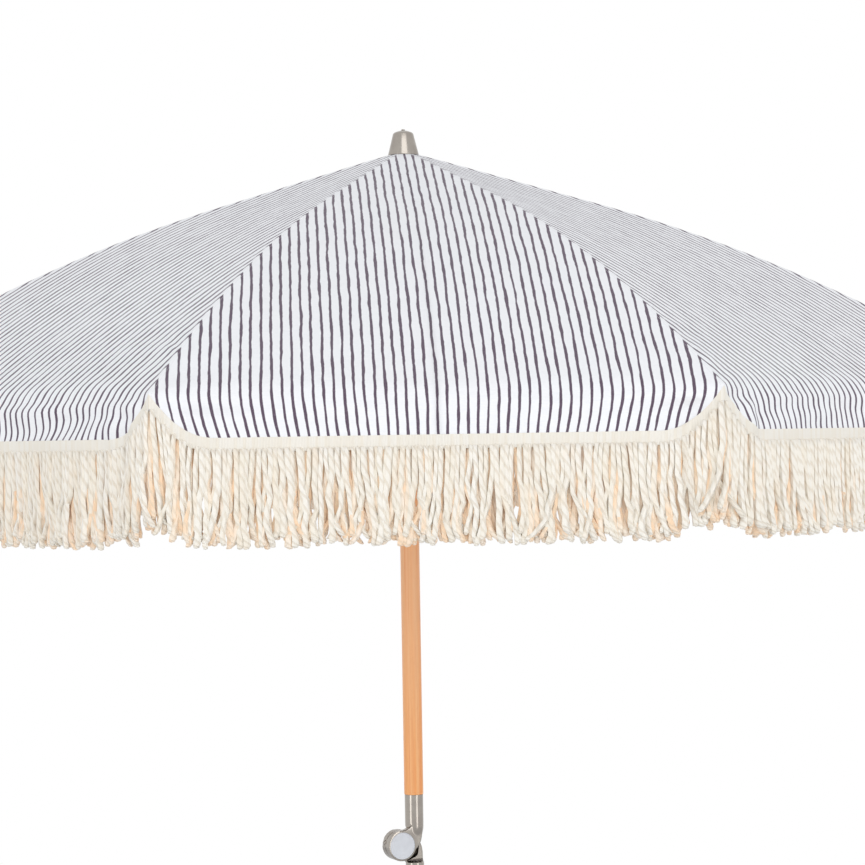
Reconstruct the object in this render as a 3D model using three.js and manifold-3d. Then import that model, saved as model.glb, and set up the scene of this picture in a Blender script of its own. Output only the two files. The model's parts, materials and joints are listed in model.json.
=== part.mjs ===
// A beach umbrella: a two-part beech pole with a tilting knuckle, eight sprung ribs and a fringed canopy.
// Millimetres, +Z up. The origin is the middle of the sand tip's blunt end, on the pole's axis.
// The ribs stand at every eighth of a turn from +X, and the knuckle tilts the canopy towards -X.
import * as THREE from "three";
import { mergeVertices } from "three/addons/utils/BufferGeometryUtils.js";
import Module from "manifold-3d";

const wasm = await Module();
wasm.setup();

// ---- Driving dimensions ----

// Overall
const ribCount = 8;
const canopyRadius = 1000; // pole axis to rib tip, open
const tiltHeight = 1000; // blunt end to tilt pivot
const collarHeight = 1151; // tilt pivot to the underside of the finial
const poleRadius = 16;

// Clearances
const seatGap = 0.3; // between faces that touch on the real umbrella
const pinClearance = 0.3; // round a pivot pin
const slideClearance = 0.4; // round the pole inside the runner

// Canopy
const fabricThickness = 1;
const crownSlope = THREE.MathUtils.degToRad(17.3); // fall of the cloth beside the finial
const tipSlope = THREE.MathUtils.degToRad(32.8); // fall of the cloth at the rib tip
const bendStart = 330; // radius where the cloth begins to curve
const valanceDrop = 63; // rib-tip level down to the hem, mid-panel
const valanceAtTip = 4;
const scallopWidth = 88; // half of the rise in the hem at each rib
const canopyHoleGap = 1; // round the pole
const fringeDrop = 142; // hem to the cord ends, mid-panel
const fringeLift = 30; // how much higher the cord ends hang at a rib
const fringeThickness = 5;

// Hubs, ribs and stretchers
const hubWall = 12; // wood-side wall of the crown and the runner, inside their slots
const hubRim = 8; // pivot circle to the hub's outside
const crownDrop = 20; // underside of the finial to the rib pivots
const crownFoot = 14; // crown below its pivots
const crownCap = 12; // crown above its pivots
const slotRoof = 6; // pivots to the closed tops of the crown's slots
const eyeRadius = 5;
const bladeThickness = 4; // rib eyes and stretchers
const pinRadius = 1.5;
const ribRadius = 2.5;
const ribCapRadius = 4.5;
const ribInset = 12; // rib end inside the canopy's edge
const clothClearance = 1.4; // clip sleeve to the cloth
const ribSettle = 300; // radius where the rib meets the cloth's line
const ribEyeLength = 22;
const clipRadius = 455; // pole axis to the rib clip
const clipWall = 1.5; // round the rib
const clipLength = 24;
const clipClearance = 0.6; // round the curved rib inside its sleeve
const clipEar = 2;
const clipHang = 1.4; // clip sleeve to the end of the stretcher
const stretcherHeight = 9;
const stretcherRoom = 0.8; // behind the stretcher's eye in the runner's slot
const runnerTop = 8; // runner above its pivots
const runnerRimDepth = 9;
const runnerLength = 75; // pivots to the runner's lower edge
const runnerSleeveWall = 5.6;

// Runner catch
const catchGap = 0.8; // runner edge to the catch tooth
const catchReach = 5; // tooth outside the pole
const catchLever = 32; // tooth top to catch pin
const catchDepth = 5; // pole surface to catch pin
const catchWidth = 5.4;
const catchBlade = 1.6; // thickness of the spring strip
const catchTooth = 2; // height of the tooth's blunt edge
const catchTail = 3.5; // end of the strip inside its pin
const catchEyeRadius = 4;
const catchPinRadius = 1.5;
const catchThrow = 6; // room behind the strip

// Finial
const finialLip = 10; // finial outside the pole's surface
const finialHeight = 36;
const finialTopRadius = 17;
const finialDome = 5.5;
const finialScrewRadius = 2.2;
const finialScrewHead = 3;
const finialScrewRise = 2;
const finialScrewLength = 70;

// Knuckle
const tiltOffset = 28; // pole axis to tilt pivot
const discRadius = 26;
const discHalf = 13; // thickness of each half of the knuckle
const tubeWall = 2.3;
const tenonLength = 42;
const tubeBottomRise = 3; // disc rim to the closed end of the tube
const tubeRoundness = 10;
const socketFloor = 2; // metal under the pole's end
const boltRadius = 4;
const boltHeadRadius = 6.5;
const boltHeadHeight = 3;
const nutRadius = 8;
const nutHeight = 6;
const discRing = 3.2; // rim of the disc round the button
const buttonProud = 1.2; // button edge outside the disc
const buttonCrown = 0.6; // rise of its face
const buttonWall = 2;
const buttonSkirt = 4;
const buttonRecess = 8;
const buttonSpringRadius = 9.5;
const buttonSpringWire = 1.4;
const lugHeight = 5;
const lugProud = 3;
const lugRise = 9;

// Sand tip and small screws
const tipLength = 95;
const tipShoulder = 25; // straight ferrule round the wood
const tipFaceRadius = 6;
const screwRadius = 1.8;
const screwHeadRadius = 3.4;
const screwHeadHeight = 2;
const screwBite = 9; // into the wood

// Facets
const roundSides = 24;
const pinSides = 8;
const ribSides = 6;
const ribSteps = 12;
const arcSegments = 4; // an arc in a plate's outline has twice as many facets

// ---- Materials ----

const finish = (color, roughness, metalness) =>
  new THREE.MeshStandardMaterial({ color, roughness, metalness });
const beech = finish(0xf0ae7c, 0.45, 0);
const satinNickel = finish(0xbdb8b0, 0.35, 1);
const steel = finish(0xc9c9c6, 0.3, 1);
const stripedCanvas = finish(0xf2f3f8, 0.9, 0);
const cottonFringe = finish(0xf3efe6, 0.95, 0);
const glassFibre = finish(0xefeae0, 0.4, 0);
const palePlastic = finish(0xd5d7de, 0.5, 0);
const creamPlastic = finish(0xe9e4da, 0.5, 0);

// ---- Solids ----

const umbrella = new THREE.Group();

/** A closed geometry as a manifold solid with its faces outwards. */
function solid(geometry) {
  const bare = geometry.clone();
  bare.deleteAttribute("normal");
  bare.deleteAttribute("uv");
  const merged = mergeVertices(bare, 1e-4);
  const triVerts = new Uint32Array(merged.index.array);
  const vertProperties = new Float32Array(merged.attributes.position.array);
  const made = new wasm.Manifold(new wasm.Mesh({ numProp: 3, vertProperties, triVerts }));
  if (made.volume() > 0) return made;
  for (let i = 0; i < triVerts.length; i += 3) {
    [triVerts[i + 1], triVerts[i + 2]] = [triVerts[i + 2], triVerts[i + 1]];
  }
  return new wasm.Manifold(new wasm.Mesh({ numProp: 3, vertProperties, triVerts }));
}

/** A manifold solid as a three.js geometry. */
function geometryOf(made) {
  const { numProp, vertProperties, triVerts } = made.getMesh();
  const position = new Float32Array((vertProperties.length / numProp) * 3);
  for (let i = 0; i < position.length / 3; i++) {
    position.set(vertProperties.subarray(i * numProp, i * numProp + 3), i * 3);
  }
  const geometry = new THREE.BufferGeometry();
  geometry.setAttribute("position", new THREE.BufferAttribute(position, 3));
  geometry.setIndex(new THREE.BufferAttribute(triVerts, 1));
  return geometry;
}

/** Adds one named piece, and returns its mesh so that it can be placed. */
function add(name, made, material, parent = umbrella) {
  const mesh = new THREE.Mesh(geometryOf(made), material);
  mesh.name = name;
  parent.add(mesh);
  return mesh;
}

const join = (...solids) => solids.reduce((a, b) => a.add(b));
const cut = (body, ...tools) => tools.reduce((a, b) => a.subtract(b), body);

/** Turns a closed profile of [radius, height] points about the Z axis. */
function turned(profile, sides = roundSides) {
  const points = profile.map(([r, z]) => new THREE.Vector2(r, z));
  return solid(new THREE.LatheGeometry(points, sides).rotateX(Math.PI / 2));
}

/** A cylinder between two points. */
function rod(from, to, radius, sides = pinSides) {
  const start = new THREE.Vector3(...from);
  const end = new THREE.Vector3(...to);
  const along = end.clone().sub(start);
  const geometry = new THREE.CylinderGeometry(radius, radius, along.length(), sides);
  const turn = new THREE.Quaternion().setFromUnitVectors(
    new THREE.Vector3(0, 1, 0),
    along.clone().normalize(),
  );
  geometry.applyQuaternion(turn);
  geometry.translate(...start.add(end).multiplyScalar(0.5).toArray());
  return solid(geometry);
}

/** A box between two corners. */
function block([x0, y0, z0], [x1, y1, z1]) {
  const geometry = new THREE.BoxGeometry(x1 - x0, y1 - y0, z1 - z0);
  geometry.translate((x0 + x1) / 2, (y0 + y1) / 2, (z0 + z1) / 2);
  return solid(geometry);
}

/** A plate whose outline lies in the XZ plane, from y0 to y1. */
function plate(shape, y0, y1) {
  const options = { depth: y1 - y0, bevelEnabled: false, curveSegments: arcSegments };
  const geometry = new THREE.ExtrudeGeometry(shape, options);
  return solid(geometry.rotateX(Math.PI / 2).translate(0, y1, 0));
}

/** A bar with round ends between two points of the XZ plane. */
function barShape([x0, z0], [x1, z1], radius) {
  const lean = Math.atan2(z1 - z0, x1 - x0);
  const shape = new THREE.Shape();
  shape.absarc(x1, z1, radius, lean - Math.PI / 2, lean + Math.PI / 2, false);
  shape.absarc(x0, z0, radius, lean + Math.PI / 2, lean + (3 * Math.PI) / 2, false);
  shape.closePath();
  return shape;
}

/** A sheet with thickness, from rows of outer points and the matching rows of inner points. */
function sheet(outer, inner) {
  const rows = outer.length;
  const columns = outer[0].length;
  const position = [];
  for (const side of [outer, inner]) {
    for (const row of side) {
      for (const point of row) position.push(...point);
    }
  }
  const at = (side, row, column) => (side * rows + row) * columns + column;
  const index = [];
  const quad = (a, b, c, d) => index.push(a, b, c, a, c, d);
  for (let i = 0; i < rows - 1; i++) {
    for (let j = 0; j < columns - 1; j++) {
      quad(at(0, i, j), at(0, i + 1, j), at(0, i + 1, j + 1), at(0, i, j + 1));
      quad(at(1, i, j), at(1, i, j + 1), at(1, i + 1, j + 1), at(1, i + 1, j));
    }
  }
  for (let i = 0; i < rows - 1; i++) {
    quad(at(0, i, 0), at(1, i, 0), at(1, i + 1, 0), at(0, i + 1, 0));
    const last = columns - 1;
    quad(at(0, i, last), at(0, i + 1, last), at(1, i + 1, last), at(1, i, last));
  }
  for (let j = 0; j < columns - 1; j++) {
    quad(at(0, 0, j), at(0, 0, j + 1), at(1, 0, j + 1), at(1, 0, j));
    const last = rows - 1;
    quad(at(0, last, j), at(1, last, j), at(1, last, j + 1), at(0, last, j + 1));
  }
  const geometry = new THREE.BufferGeometry();
  geometry.setAttribute("position", new THREE.Float32BufferAttribute(position, 3));
  geometry.setIndex(index);
  return solid(geometry);
}

/** A small pan-head screw driven along -axis, its head's underside at the given point. */
function screw([x, y, z], [ux, uy], length) {
  const at = (d) => [x + ux * d, y + uy * d, z];
  return join(
    rod(at(-length), at(0.5), screwRadius),
    rod(at(seatGap), at(seatGap + screwHeadHeight), screwHeadRadius, 12),
  );
}

/** The hole that such a screw runs in. */
function screwHole([x, y, z], [ux, uy], length) {
  const at = (d) => [x + ux * d, y + uy * d, z];
  return rod(at(-length - seatGap), at(screwHeadHeight), screwRadius + pinClearance);
}

// ---- Levels and lines that several pieces share ----

const finialBase = tiltHeight + collarHeight;
const clothTop = finialBase - seatGap;
const hubTop = clothTop - fabricThickness - seatGap;
const finialRadius = poleRadius + finialLip;
const collarRadius = finialRadius + 1;
const canopyHoleRadius = poleRadius + canopyHoleGap;
const pivotRadius = poleRadius + hubWall + seatGap + eyeRadius;
const hubRadius = pivotRadius + hubRim;
const crownPivot = finialBase - crownDrop;
const clipSleeveRadius = ribRadius + clipClearance + clipWall;
const clipDrop = clipSleeveRadius + stretcherHeight / 2 + clipHang;
const ribBelowCloth = clipSleeveRadius + clothClearance;
const slotWidth = bladeThickness + 2 * pinClearance + 0.2;
const tubeLength = discRadius + tubeBottomRise + tubeRoundness + socketFloor + tenonLength;
const upperWoodEnd = tiltHeight + tubeLength;
const lowerWoodEnd = tiltHeight - tubeLength;
const tubeBore = poleRadius - tubeWall;
const tenonRadius = tubeBore - seatGap;

/** Height and slope of the cloth's top side above a rib, at a radius from the pole. */
function clothLine(radius) {
  const straight = Math.min(radius, bendStart) - collarRadius;
  const fall = Math.max(straight, 0) * Math.tan(crownSlope);
  if (radius <= bendStart) return { z: clothTop - fall, slope: radius < collarRadius ? 0 : crownSlope };
  const bendRadius = (canopyRadius - bendStart) / (Math.sin(tipSlope) - Math.sin(crownSlope));
  const slope = Math.asin(Math.sin(crownSlope) + (radius - bendStart) / bendRadius);
  const drop = bendRadius * (Math.cos(crownSlope) - Math.cos(slope));
  return { z: clothTop - fall - drop, slope };
}

/** Height of a rib's centre line at a radius from the pole. */
function ribLine(radius) {
  const below = (r) => {
    const { z, slope } = clothLine(r);
    return z - (fabricThickness + ribBelowCloth) / Math.cos(slope);
  };
  if (radius >= ribSettle) return below(radius);
  const share = (radius - pivotRadius) / (ribSettle - pivotRadius);
  return THREE.MathUtils.lerp(crownPivot, below(ribSettle), share);
}

const clipSlope = Math.atan((ribLine(clipRadius - 5) - ribLine(clipRadius + 5)) / 10);
const clipPin = [
  clipRadius - clipDrop * Math.sin(clipSlope),
  ribLine(clipRadius) - clipDrop * Math.cos(clipSlope),
];
// The stretcher is as long as the crown pivot to clip pin distance, so the two make an isosceles triangle.
const runnerPivot = 2 * clipPin[1] - crownPivot;
const runnerEdge = runnerPivot - runnerLength;

// ---- Lower pole and sand tip ----

const rearward = [0, 1];
const tipScrewAt = [0, poleRadius, tipLength - tipShoulder / 2];
const lowerScrewAt = [0, poleRadius, lowerWoodEnd + tenonLength / 2];
const upperScrewAt = [0, poleRadius, upperWoodEnd - tenonLength / 2];

add(
  "lower_pole",
  cut(
    turned([
      [0, tipLength - tipShoulder + seatGap],
      [tenonRadius, tipLength - tipShoulder + seatGap],
      [tenonRadius, tipLength + seatGap],
      [poleRadius, tipLength + seatGap],
      [poleRadius, lowerWoodEnd - seatGap],
      [tenonRadius, lowerWoodEnd - seatGap],
      [tenonRadius, lowerWoodEnd + tenonLength],
      [0, lowerWoodEnd + tenonLength],
    ]),
    screwHole(tipScrewAt, rearward, screwBite),
    screwHole(lowerScrewAt, rearward, screwBite),
  ),
  beech,
);
add(
  "sand_tip",
  cut(
    turned([
      [0, 0],
      [tipFaceRadius, 0],
      [poleRadius, tipLength - tipShoulder],
      [poleRadius, tipLength],
      [tubeBore, tipLength],
      [tubeBore, tipLength - tipShoulder],
      [0, tipLength - tipShoulder],
    ]),
    screwHole(tipScrewAt, rearward, screwBite),
  ),
  satinNickel,
);
add("tip_screw", screw(tipScrewAt, rearward, screwBite), steel);

// ---- Tilting knuckle ----

/**
 * Half of the knuckle, made as the upper one: a tube for the wood and a flat arm that ends in a round disc.
 * The arm lies on the -Y side of the parting plane.
 */
function knuckleHalf() {
  const tubeEnd = tiltHeight + discRadius + tubeBottomRise;
  const socket = upperWoodEnd - tenonLength - seatGap;
  const tube = turned([
    [0, tubeEnd],
    [poleRadius - tubeRoundness, tubeEnd],
    [poleRadius - tubeRoundness / 3, tubeEnd + tubeRoundness / 3],
    [poleRadius, tubeEnd + tubeRoundness],
    [poleRadius, upperWoodEnd],
    [tubeBore, upperWoodEnd],
    [tubeBore, socket],
    [0, socket],
  ]);
  const arm = new THREE.Shape();
  const shoulder = tubeEnd + tubeRoundness;
  arm.moveTo(poleRadius, shoulder);
  arm.lineTo(-poleRadius, shoulder);
  arm.quadraticCurveTo(-poleRadius, tiltHeight + discRadius, -tiltOffset, tiltHeight + discRadius);
  arm.absarc(-tiltOffset, tiltHeight, discRadius, Math.PI / 2, 1.75 * Math.PI, false);
  arm.lineTo(-tiltOffset + discRadius, tiltHeight);
  arm.quadraticCurveTo(poleRadius, tiltHeight + discRadius * 0.6, poleRadius, shoulder);
  return join(tube, plate(arm, -discHalf, -seatGap / 2));
}

const boltHole = rod(
  [-tiltOffset, -discHalf - 1, tiltHeight],
  [-tiltOffset, discHalf + 1, tiltHeight],
  boltRadius + pinClearance,
  16,
);
const buttonRadius = discRadius - discRing - pinClearance;
const buttonFloor = -discHalf + buttonRecess;
const buttonSeat = rod(
  [-tiltOffset, -discHalf - 1, tiltHeight],
  [-tiltOffset, buttonFloor, tiltHeight],
  buttonRadius + pinClearance,
  roundSides,
);
add(
  "upper_knuckle",
  cut(knuckleHalf(), boltHole, buttonSeat, screwHole(upperScrewAt, rearward, screwBite)),
  satinNickel,
);

// The lower half is the upper half turned about the X axis through the pivot.
const lowerHalf = solid(
  geometryOf(knuckleHalf())
    .translate(0, 0, -tiltHeight)
    .rotateX(Math.PI)
    .translate(0, 0, tiltHeight),
);
const lugShape = new THREE.Shape();
lugShape.moveTo(-tiltOffset - discRadius + 2, tiltHeight + lugRise + lugHeight / 2);
lugShape.lineTo(-tiltOffset - discRadius - lugProud + 2, tiltHeight + lugRise);
lugShape.lineTo(-tiltOffset - discRadius + 2, tiltHeight + lugRise - lugHeight / 2);
lugShape.lineTo(-tiltOffset - discRadius / 2, tiltHeight + lugRise);
const lug = plate(lugShape, discHalf / 3, discHalf - 2);
add(
  "lower_knuckle",
  cut(join(lowerHalf, lug), boltHole, screwHole(lowerScrewAt, rearward, screwBite)),
  satinNickel,
);
add("lower_screw", screw(lowerScrewAt, rearward, screwBite), steel);
add("upper_screw", screw(upperScrewAt, rearward, screwBite), steel);

const boltTail = discHalf + seatGap + nutHeight - 2;
const headBack = buttonFloor - seatGap;
add(
  "tilt_bolt",
  join(
    rod([-tiltOffset, headBack - 1, tiltHeight], [-tiltOffset, boltTail, tiltHeight], boltRadius, 16),
    rod(
      [-tiltOffset, headBack - boltHeadHeight, tiltHeight],
      [-tiltOffset, headBack, tiltHeight],
      boltHeadRadius,
      16,
    ),
  ),
  steel,
);
add(
  "tilt_nut",
  cut(
    turned(
      [
        [0, 0],
        [nutRadius, 0],
        [nutRadius, nutHeight / 2],
        [nutRadius * 0.7, nutHeight],
        [0, nutHeight + 1],
      ],
      20,
    ),
    rod([0, 0, -1], [0, 0, nutHeight - 2 + seatGap], boltRadius + pinClearance, 16),
  ),
  steel,
)
  .rotateX(-Math.PI / 2)
  .position.set(-tiltOffset, discHalf + seatGap, tiltHeight);

// The button is a shallow cup with a plain face. Its profile is drawn outwards from the disc's face.
const cupInside = buttonProud - buttonWall;
add(
  "tilt_button",
  turned([
    [0, cupInside],
    [buttonRadius - buttonWall, cupInside],
    [buttonRadius - buttonWall, cupInside - buttonSkirt],
    [buttonRadius, cupInside - buttonSkirt],
    [buttonRadius, buttonProud - 1],
    [buttonRadius - 1, buttonProud],
    [0, buttonProud + buttonCrown],
  ]),
  palePlastic,
)
  .rotateX(Math.PI / 2)
  .position.set(-tiltOffset, -discHalf, tiltHeight);
const springHead = cupInside - seatGap;
const springFoot = -buttonRecess + seatGap;
const springWaist = (springHead + springFoot) / 2;
add(
  "button_spring",
  turned(
    [
      [buttonSpringRadius - buttonSpringWire, springHead],
      [buttonSpringRadius, springHead],
      [buttonSpringRadius + buttonSpringWire, springWaist],
      [buttonSpringRadius, springFoot],
      [buttonSpringRadius - buttonSpringWire, springFoot],
      [buttonSpringRadius, springWaist],
      [buttonSpringRadius - buttonSpringWire, springHead],
    ],
    24,
  ),
  steel,
)
  .rotateX(Math.PI / 2)
  .position.set(-tiltOffset, -discHalf, tiltHeight);

// ---- Upper pole and the runner's catch ----

const catchTop = runnerEdge - catchGap;
const catchPinAt = [poleRadius - catchDepth, catchTop - catchLever];
const slotBack = poleRadius - catchDepth - catchTail - catchThrow;
const catchPinHole = rod(
  [catchPinAt[0], -poleRadius, catchPinAt[1]],
  [catchPinAt[0], poleRadius, catchPinAt[1]],
  catchPinRadius + 0.1,
);
const crownScrewTurn = Math.PI / ribCount;
const crownScrewAxis = [Math.cos(crownScrewTurn), Math.sin(crownScrewTurn)];
const crownScrewAt = [...crownScrewAxis.map((u) => u * hubRadius), crownPivot];
const crownScrewLength = hubRadius - poleRadius + screwBite;
add(
  "upper_pole",
  cut(
    turned([
      [0, upperWoodEnd - tenonLength],
      [tenonRadius, upperWoodEnd - tenonLength],
      [tenonRadius, upperWoodEnd + seatGap],
      [poleRadius, upperWoodEnd + seatGap],
      [poleRadius, hubTop],
      [0, hubTop],
    ]),
    block(
      [slotBack, -catchWidth / 2 - pinClearance, catchPinAt[1] - catchEyeRadius - 1],
      [poleRadius + 1, catchWidth / 2 + pinClearance, catchTop + 2],
    ),
    catchPinHole,
    rod(
      [0, 0, finialBase + finialHeight - finialScrewLength - seatGap],
      [0, 0, hubTop + 1],
      finialScrewRadius + pinClearance,
    ),
    screwHole(upperScrewAt, rearward, screwBite),
    screwHole(crownScrewAt, crownScrewAxis, crownScrewLength),
  ),
  beech,
);

// The catch is one bent strip of spring steel: an eye on its pin, a blade, a tooth and a tail in the slot.
const toothFace = poleRadius + catchReach;
const toothBack = toothFace - catchBlade;
const tailEnd = catchPinAt[0] - catchTail;
const strip = new THREE.Shape();
strip.absarc(...catchPinAt, catchEyeRadius, Math.PI / 3, 2 * Math.PI, false);
strip.lineTo(toothFace, catchTop - 2 * catchTooth);
strip.lineTo(toothFace, catchTop - catchTooth);
strip.lineTo(poleRadius, catchTop);
strip.lineTo(tailEnd, catchTop);
strip.lineTo(tailEnd, catchTop - catchBlade);
strip.lineTo(poleRadius, catchTop - catchBlade);
strip.lineTo(toothBack, catchTop - catchTooth - catchBlade / 2);
strip.lineTo(toothBack, catchTop - 2 * catchTooth);
const catchEye = new THREE.Path();
catchEye.absarc(...catchPinAt, catchPinRadius + pinClearance, 0, 2 * Math.PI, true);
strip.holes.push(catchEye);
add("runner_catch", plate(strip, -catchWidth / 2, catchWidth / 2), steel);
add(
  "catch_pin",
  rod(
    [catchPinAt[0], -poleRadius * 0.6, catchPinAt[1]],
    [catchPinAt[0], poleRadius * 0.6, catchPinAt[1]],
    catchPinRadius,
  ),
  steel,
);

// ---- Crown, finial and runner ----

/** One cutter for each rib, made by a function that draws it on the +X side. */
function atEachRib(draw) {
  const made = [];
  for (let k = 0; k < ribCount; k++) {
    const geometry = geometryOf(draw());
    made.push(solid(geometry.rotateZ((2 * Math.PI * k) / ribCount)));
  }
  return made;
}

const crownSlots = atEachRib(() =>
  block(
    [pivotRadius - eyeRadius - seatGap, -slotWidth / 2, crownPivot - crownFoot - 1],
    [hubRadius + 1, slotWidth / 2, crownPivot + slotRoof],
  ),
);
const crownPinReach = slotWidth / 2 + 1;
const crownPins = atEachRib(() =>
  rod([pivotRadius, -crownPinReach, crownPivot], [pivotRadius, crownPinReach, crownPivot], pinRadius),
);
const crownBlank = turned([
  [poleRadius + seatGap, crownPivot - crownFoot],
  [hubRadius - 4, crownPivot - crownFoot],
  [hubRadius, crownPivot - crownFoot + 4],
  [hubRadius, crownPivot + crownCap - 3],
  [hubRadius - 3, crownPivot + crownCap],
  [finialRadius, crownPivot + crownCap],
  [finialRadius - 1, hubTop],
  [poleRadius + seatGap, hubTop],
  [poleRadius + seatGap, crownPivot - crownFoot],
]);
add(
  "crown",
  join(
    cut(crownBlank, ...crownSlots, screwHole(crownScrewAt, crownScrewAxis, crownScrewLength)),
    ...crownPins,
  ),
  creamPlastic,
);
add("crown_screw", screw(crownScrewAt, crownScrewAxis, crownScrewLength), steel);

const finialTop = finialBase + finialHeight + finialDome;
add(
  "finial",
  turned([
    [finialScrewRadius + pinClearance, finialBase],
    [finialRadius, finialBase],
    [finialRadius - 0.3, finialBase + 4],
    [finialTopRadius + 1, finialBase + finialHeight - 4],
    [finialTopRadius, finialBase + finialHeight],
    [finialTopRadius * 0.75, finialTop - finialDome * 0.4],
    [finialScrewHead + 2, finialTop],
    [finialScrewRadius + pinClearance, finialTop],
    [finialScrewRadius + pinClearance, finialBase],
  ]),
  satinNickel,
);
add(
  "finial_screw",
  turned(
    [
      [0, finialBase + finialHeight - finialScrewLength],
      [finialScrewRadius, finialBase + finialHeight - finialScrewLength + 3],
      [finialScrewRadius, finialTop + seatGap],
      [finialScrewHead, finialTop + seatGap],
      [finialScrewHead, finialTop + seatGap + finialScrewRise * 0.5],
      [0, finialTop + seatGap + finialScrewRise],
    ],
    16,
  ),
  satinNickel,
);

const runnerSlots = atEachRib(() =>
  block(
    [pivotRadius - stretcherHeight / 2 - stretcherRoom, -slotWidth / 2, runnerPivot - runnerRimDepth - 1],
    [hubRadius + 1, slotWidth / 2, runnerPivot + runnerTop + 1],
  ),
);
const pinReach = slotWidth / 2 + 2;
const groove = pinRadius + pinClearance;
// The pin grooves are open below, so that a stretcher's pin is free of the runner part-way
// through the fold.
const runnerGrooves = atEachRib(() =>
  block(
    [pivotRadius - groove, -pinReach - pinClearance, runnerPivot - runnerRimDepth - 1],
    [pivotRadius + groove, pinReach + pinClearance, runnerPivot + groove],
  ),
);
const runnerBore = poleRadius + slideClearance;
const sleeveRadius = runnerBore + runnerSleeveWall;
add(
  "runner",
  cut(
    turned([
      [runnerBore, runnerEdge],
      [sleeveRadius + 2, runnerEdge],
      [sleeveRadius + 2, runnerEdge + 6],
      [sleeveRadius, runnerEdge + 9],
      [sleeveRadius, runnerPivot - runnerRimDepth - 4],
      [hubRadius - 4, runnerPivot - runnerRimDepth],
      [hubRadius, runnerPivot - runnerRimDepth + 2],
      [hubRadius, runnerPivot + runnerTop - 2],
      [hubRadius - 2, runnerPivot + runnerTop],
      [runnerBore, runnerPivot + runnerTop],
      [runnerBore, runnerEdge],
    ]),
    ...runnerSlots,
    ...runnerGrooves,
  ),
  creamPlastic,
);

// ---- One rib with its clip, stretcher, gore and fringe, drawn on the +X side ----

/** The rib: a glass-fibre rod with a flat eye at the crown and a ball cap at its tip. */
function ribSolid() {
  const start = pivotRadius + ribEyeLength * 0.75;
  const end = canopyRadius - ribInset;
  const points = [];
  for (let i = 0; i <= ribSteps; i++) {
    const radius = THREE.MathUtils.lerp(start, end, i / ribSteps);
    points.push(new THREE.Vector3(radius, 0, ribLine(radius)));
  }
  const section = new THREE.Shape().absarc(0, 0, ribRadius, 0, 2 * Math.PI, false);
  const options = {
    steps: ribSteps,
    curveSegments: ribSides / 2,
    bevelEnabled: false,
    extrudePath: new THREE.CatmullRomCurve3(points),
  };
  const shaft = solid(new THREE.ExtrudeGeometry(section, options));
  const eyeEnd = pivotRadius + ribEyeLength;
  const blade = barShape([pivotRadius, crownPivot], [eyeEnd, ribLine(eyeEnd)], eyeRadius);
  const eye = new THREE.Path();
  eye.absarc(pivotRadius, crownPivot, pinRadius + pinClearance, 0, 2 * Math.PI, true);
  blade.holes.push(eye);
  const cap = new THREE.SphereGeometry(ribCapRadius, 8, 6);
  cap.translate(end, 0, ribLine(end));
  return join(shaft, plate(blade, -bladeThickness / 2, bladeThickness / 2), solid(cap));
}

/** The clip: a sleeve on the rib, two ears under it and the stretcher's pin between them. */
function clipSolid() {
  const along = [Math.cos(clipSlope), -Math.sin(clipSlope)];
  const middle = [clipRadius, ribLine(clipRadius)];
  const end = (side) => [
    middle[0] + (side * along[0] * clipLength) / 2,
    0,
    middle[1] + (side * along[1] * clipLength) / 2,
  ];
  const sleeve = rod(end(-1), end(1), clipSleeveRadius, 12);
  const bore = rod(end(-1.2), end(1.2), ribRadius + clipClearance, 12);
  const gap = slotWidth / 2;
  const ear = (y0, y1) => plate(barShape(middle, clipPin, clipSleeveRadius), y0, y1);
  const pin = rod(
    [clipPin[0], -gap - clipEar, clipPin[1]],
    [clipPin[0], gap + clipEar, clipPin[1]],
    pinRadius,
  );
  const ears = join(ear(-gap - clipEar, -gap), ear(gap, gap + clipEar));
  return join(cut(join(sleeve, ears), bore), pin);
}

/** The stretcher: a flat bar with an eye at the clip and a cross pin at the runner. */
function stretcherSolid() {
  const inner = [pivotRadius, runnerPivot];
  const shape = barShape(inner, clipPin, stretcherHeight / 2);
  const eye = new THREE.Path();
  eye.absarc(...clipPin, pinRadius + pinClearance, 0, 2 * Math.PI, true);
  shape.holes.push(eye);
  const pin = rod([inner[0], -pinReach, inner[1]], [inner[0], pinReach, inner[1]], pinRadius);
  return join(plate(shape, -bladeThickness / 2, bladeThickness / 2), pin);
}

const panelTurn = (2 * Math.PI) / ribCount;
const tipChord = 2 * canopyRadius * Math.sin(panelTurn / 2);
const tipLevel = clothLine(canopyRadius).z;

/** Fall of the hem below the rib tips at a distance from the rib along the canopy's edge. */
function hemFall(distance) {
  const toRib = Math.max(1 - distance / scallopWidth, 0);
  return THREE.MathUtils.lerp(valanceDrop, valanceAtTip, Math.pow(toRib, 2.2));
}

/** Distances from the rib, as shares of the half panel, closest together where the hem curves. */
const acrossHalf = [0, 0.45, 1].map((s) => (s * scallopWidth) / (tipChord / 2)).concat([0.55, 1]);

/**
 * Points across one gore, from the middle of one panel over the rib to the middle of the next.
 * Each panel is drawn straight between neighbouring ribs.
 */
function acrossGore(radius, height) {
  const halfChord = radius * Math.sin(panelTurn / 2);
  const rim = 1 - seatGap / 2 / halfChord;
  const side = (share, sign) => {
    const s = Math.min(share, rim);
    const along = s * halfChord;
    const x = radius - along * Math.sin(panelTurn / 2);
    const y = sign * along * Math.cos(panelTurn / 2);
    return [x, y, height((share * tipChord) / 2)];
  };
  const far = acrossHalf.slice(1).reverse();
  return [...far.map((s) => side(s, -1)), ...acrossHalf.map((s) => side(s, 1))];
}

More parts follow.
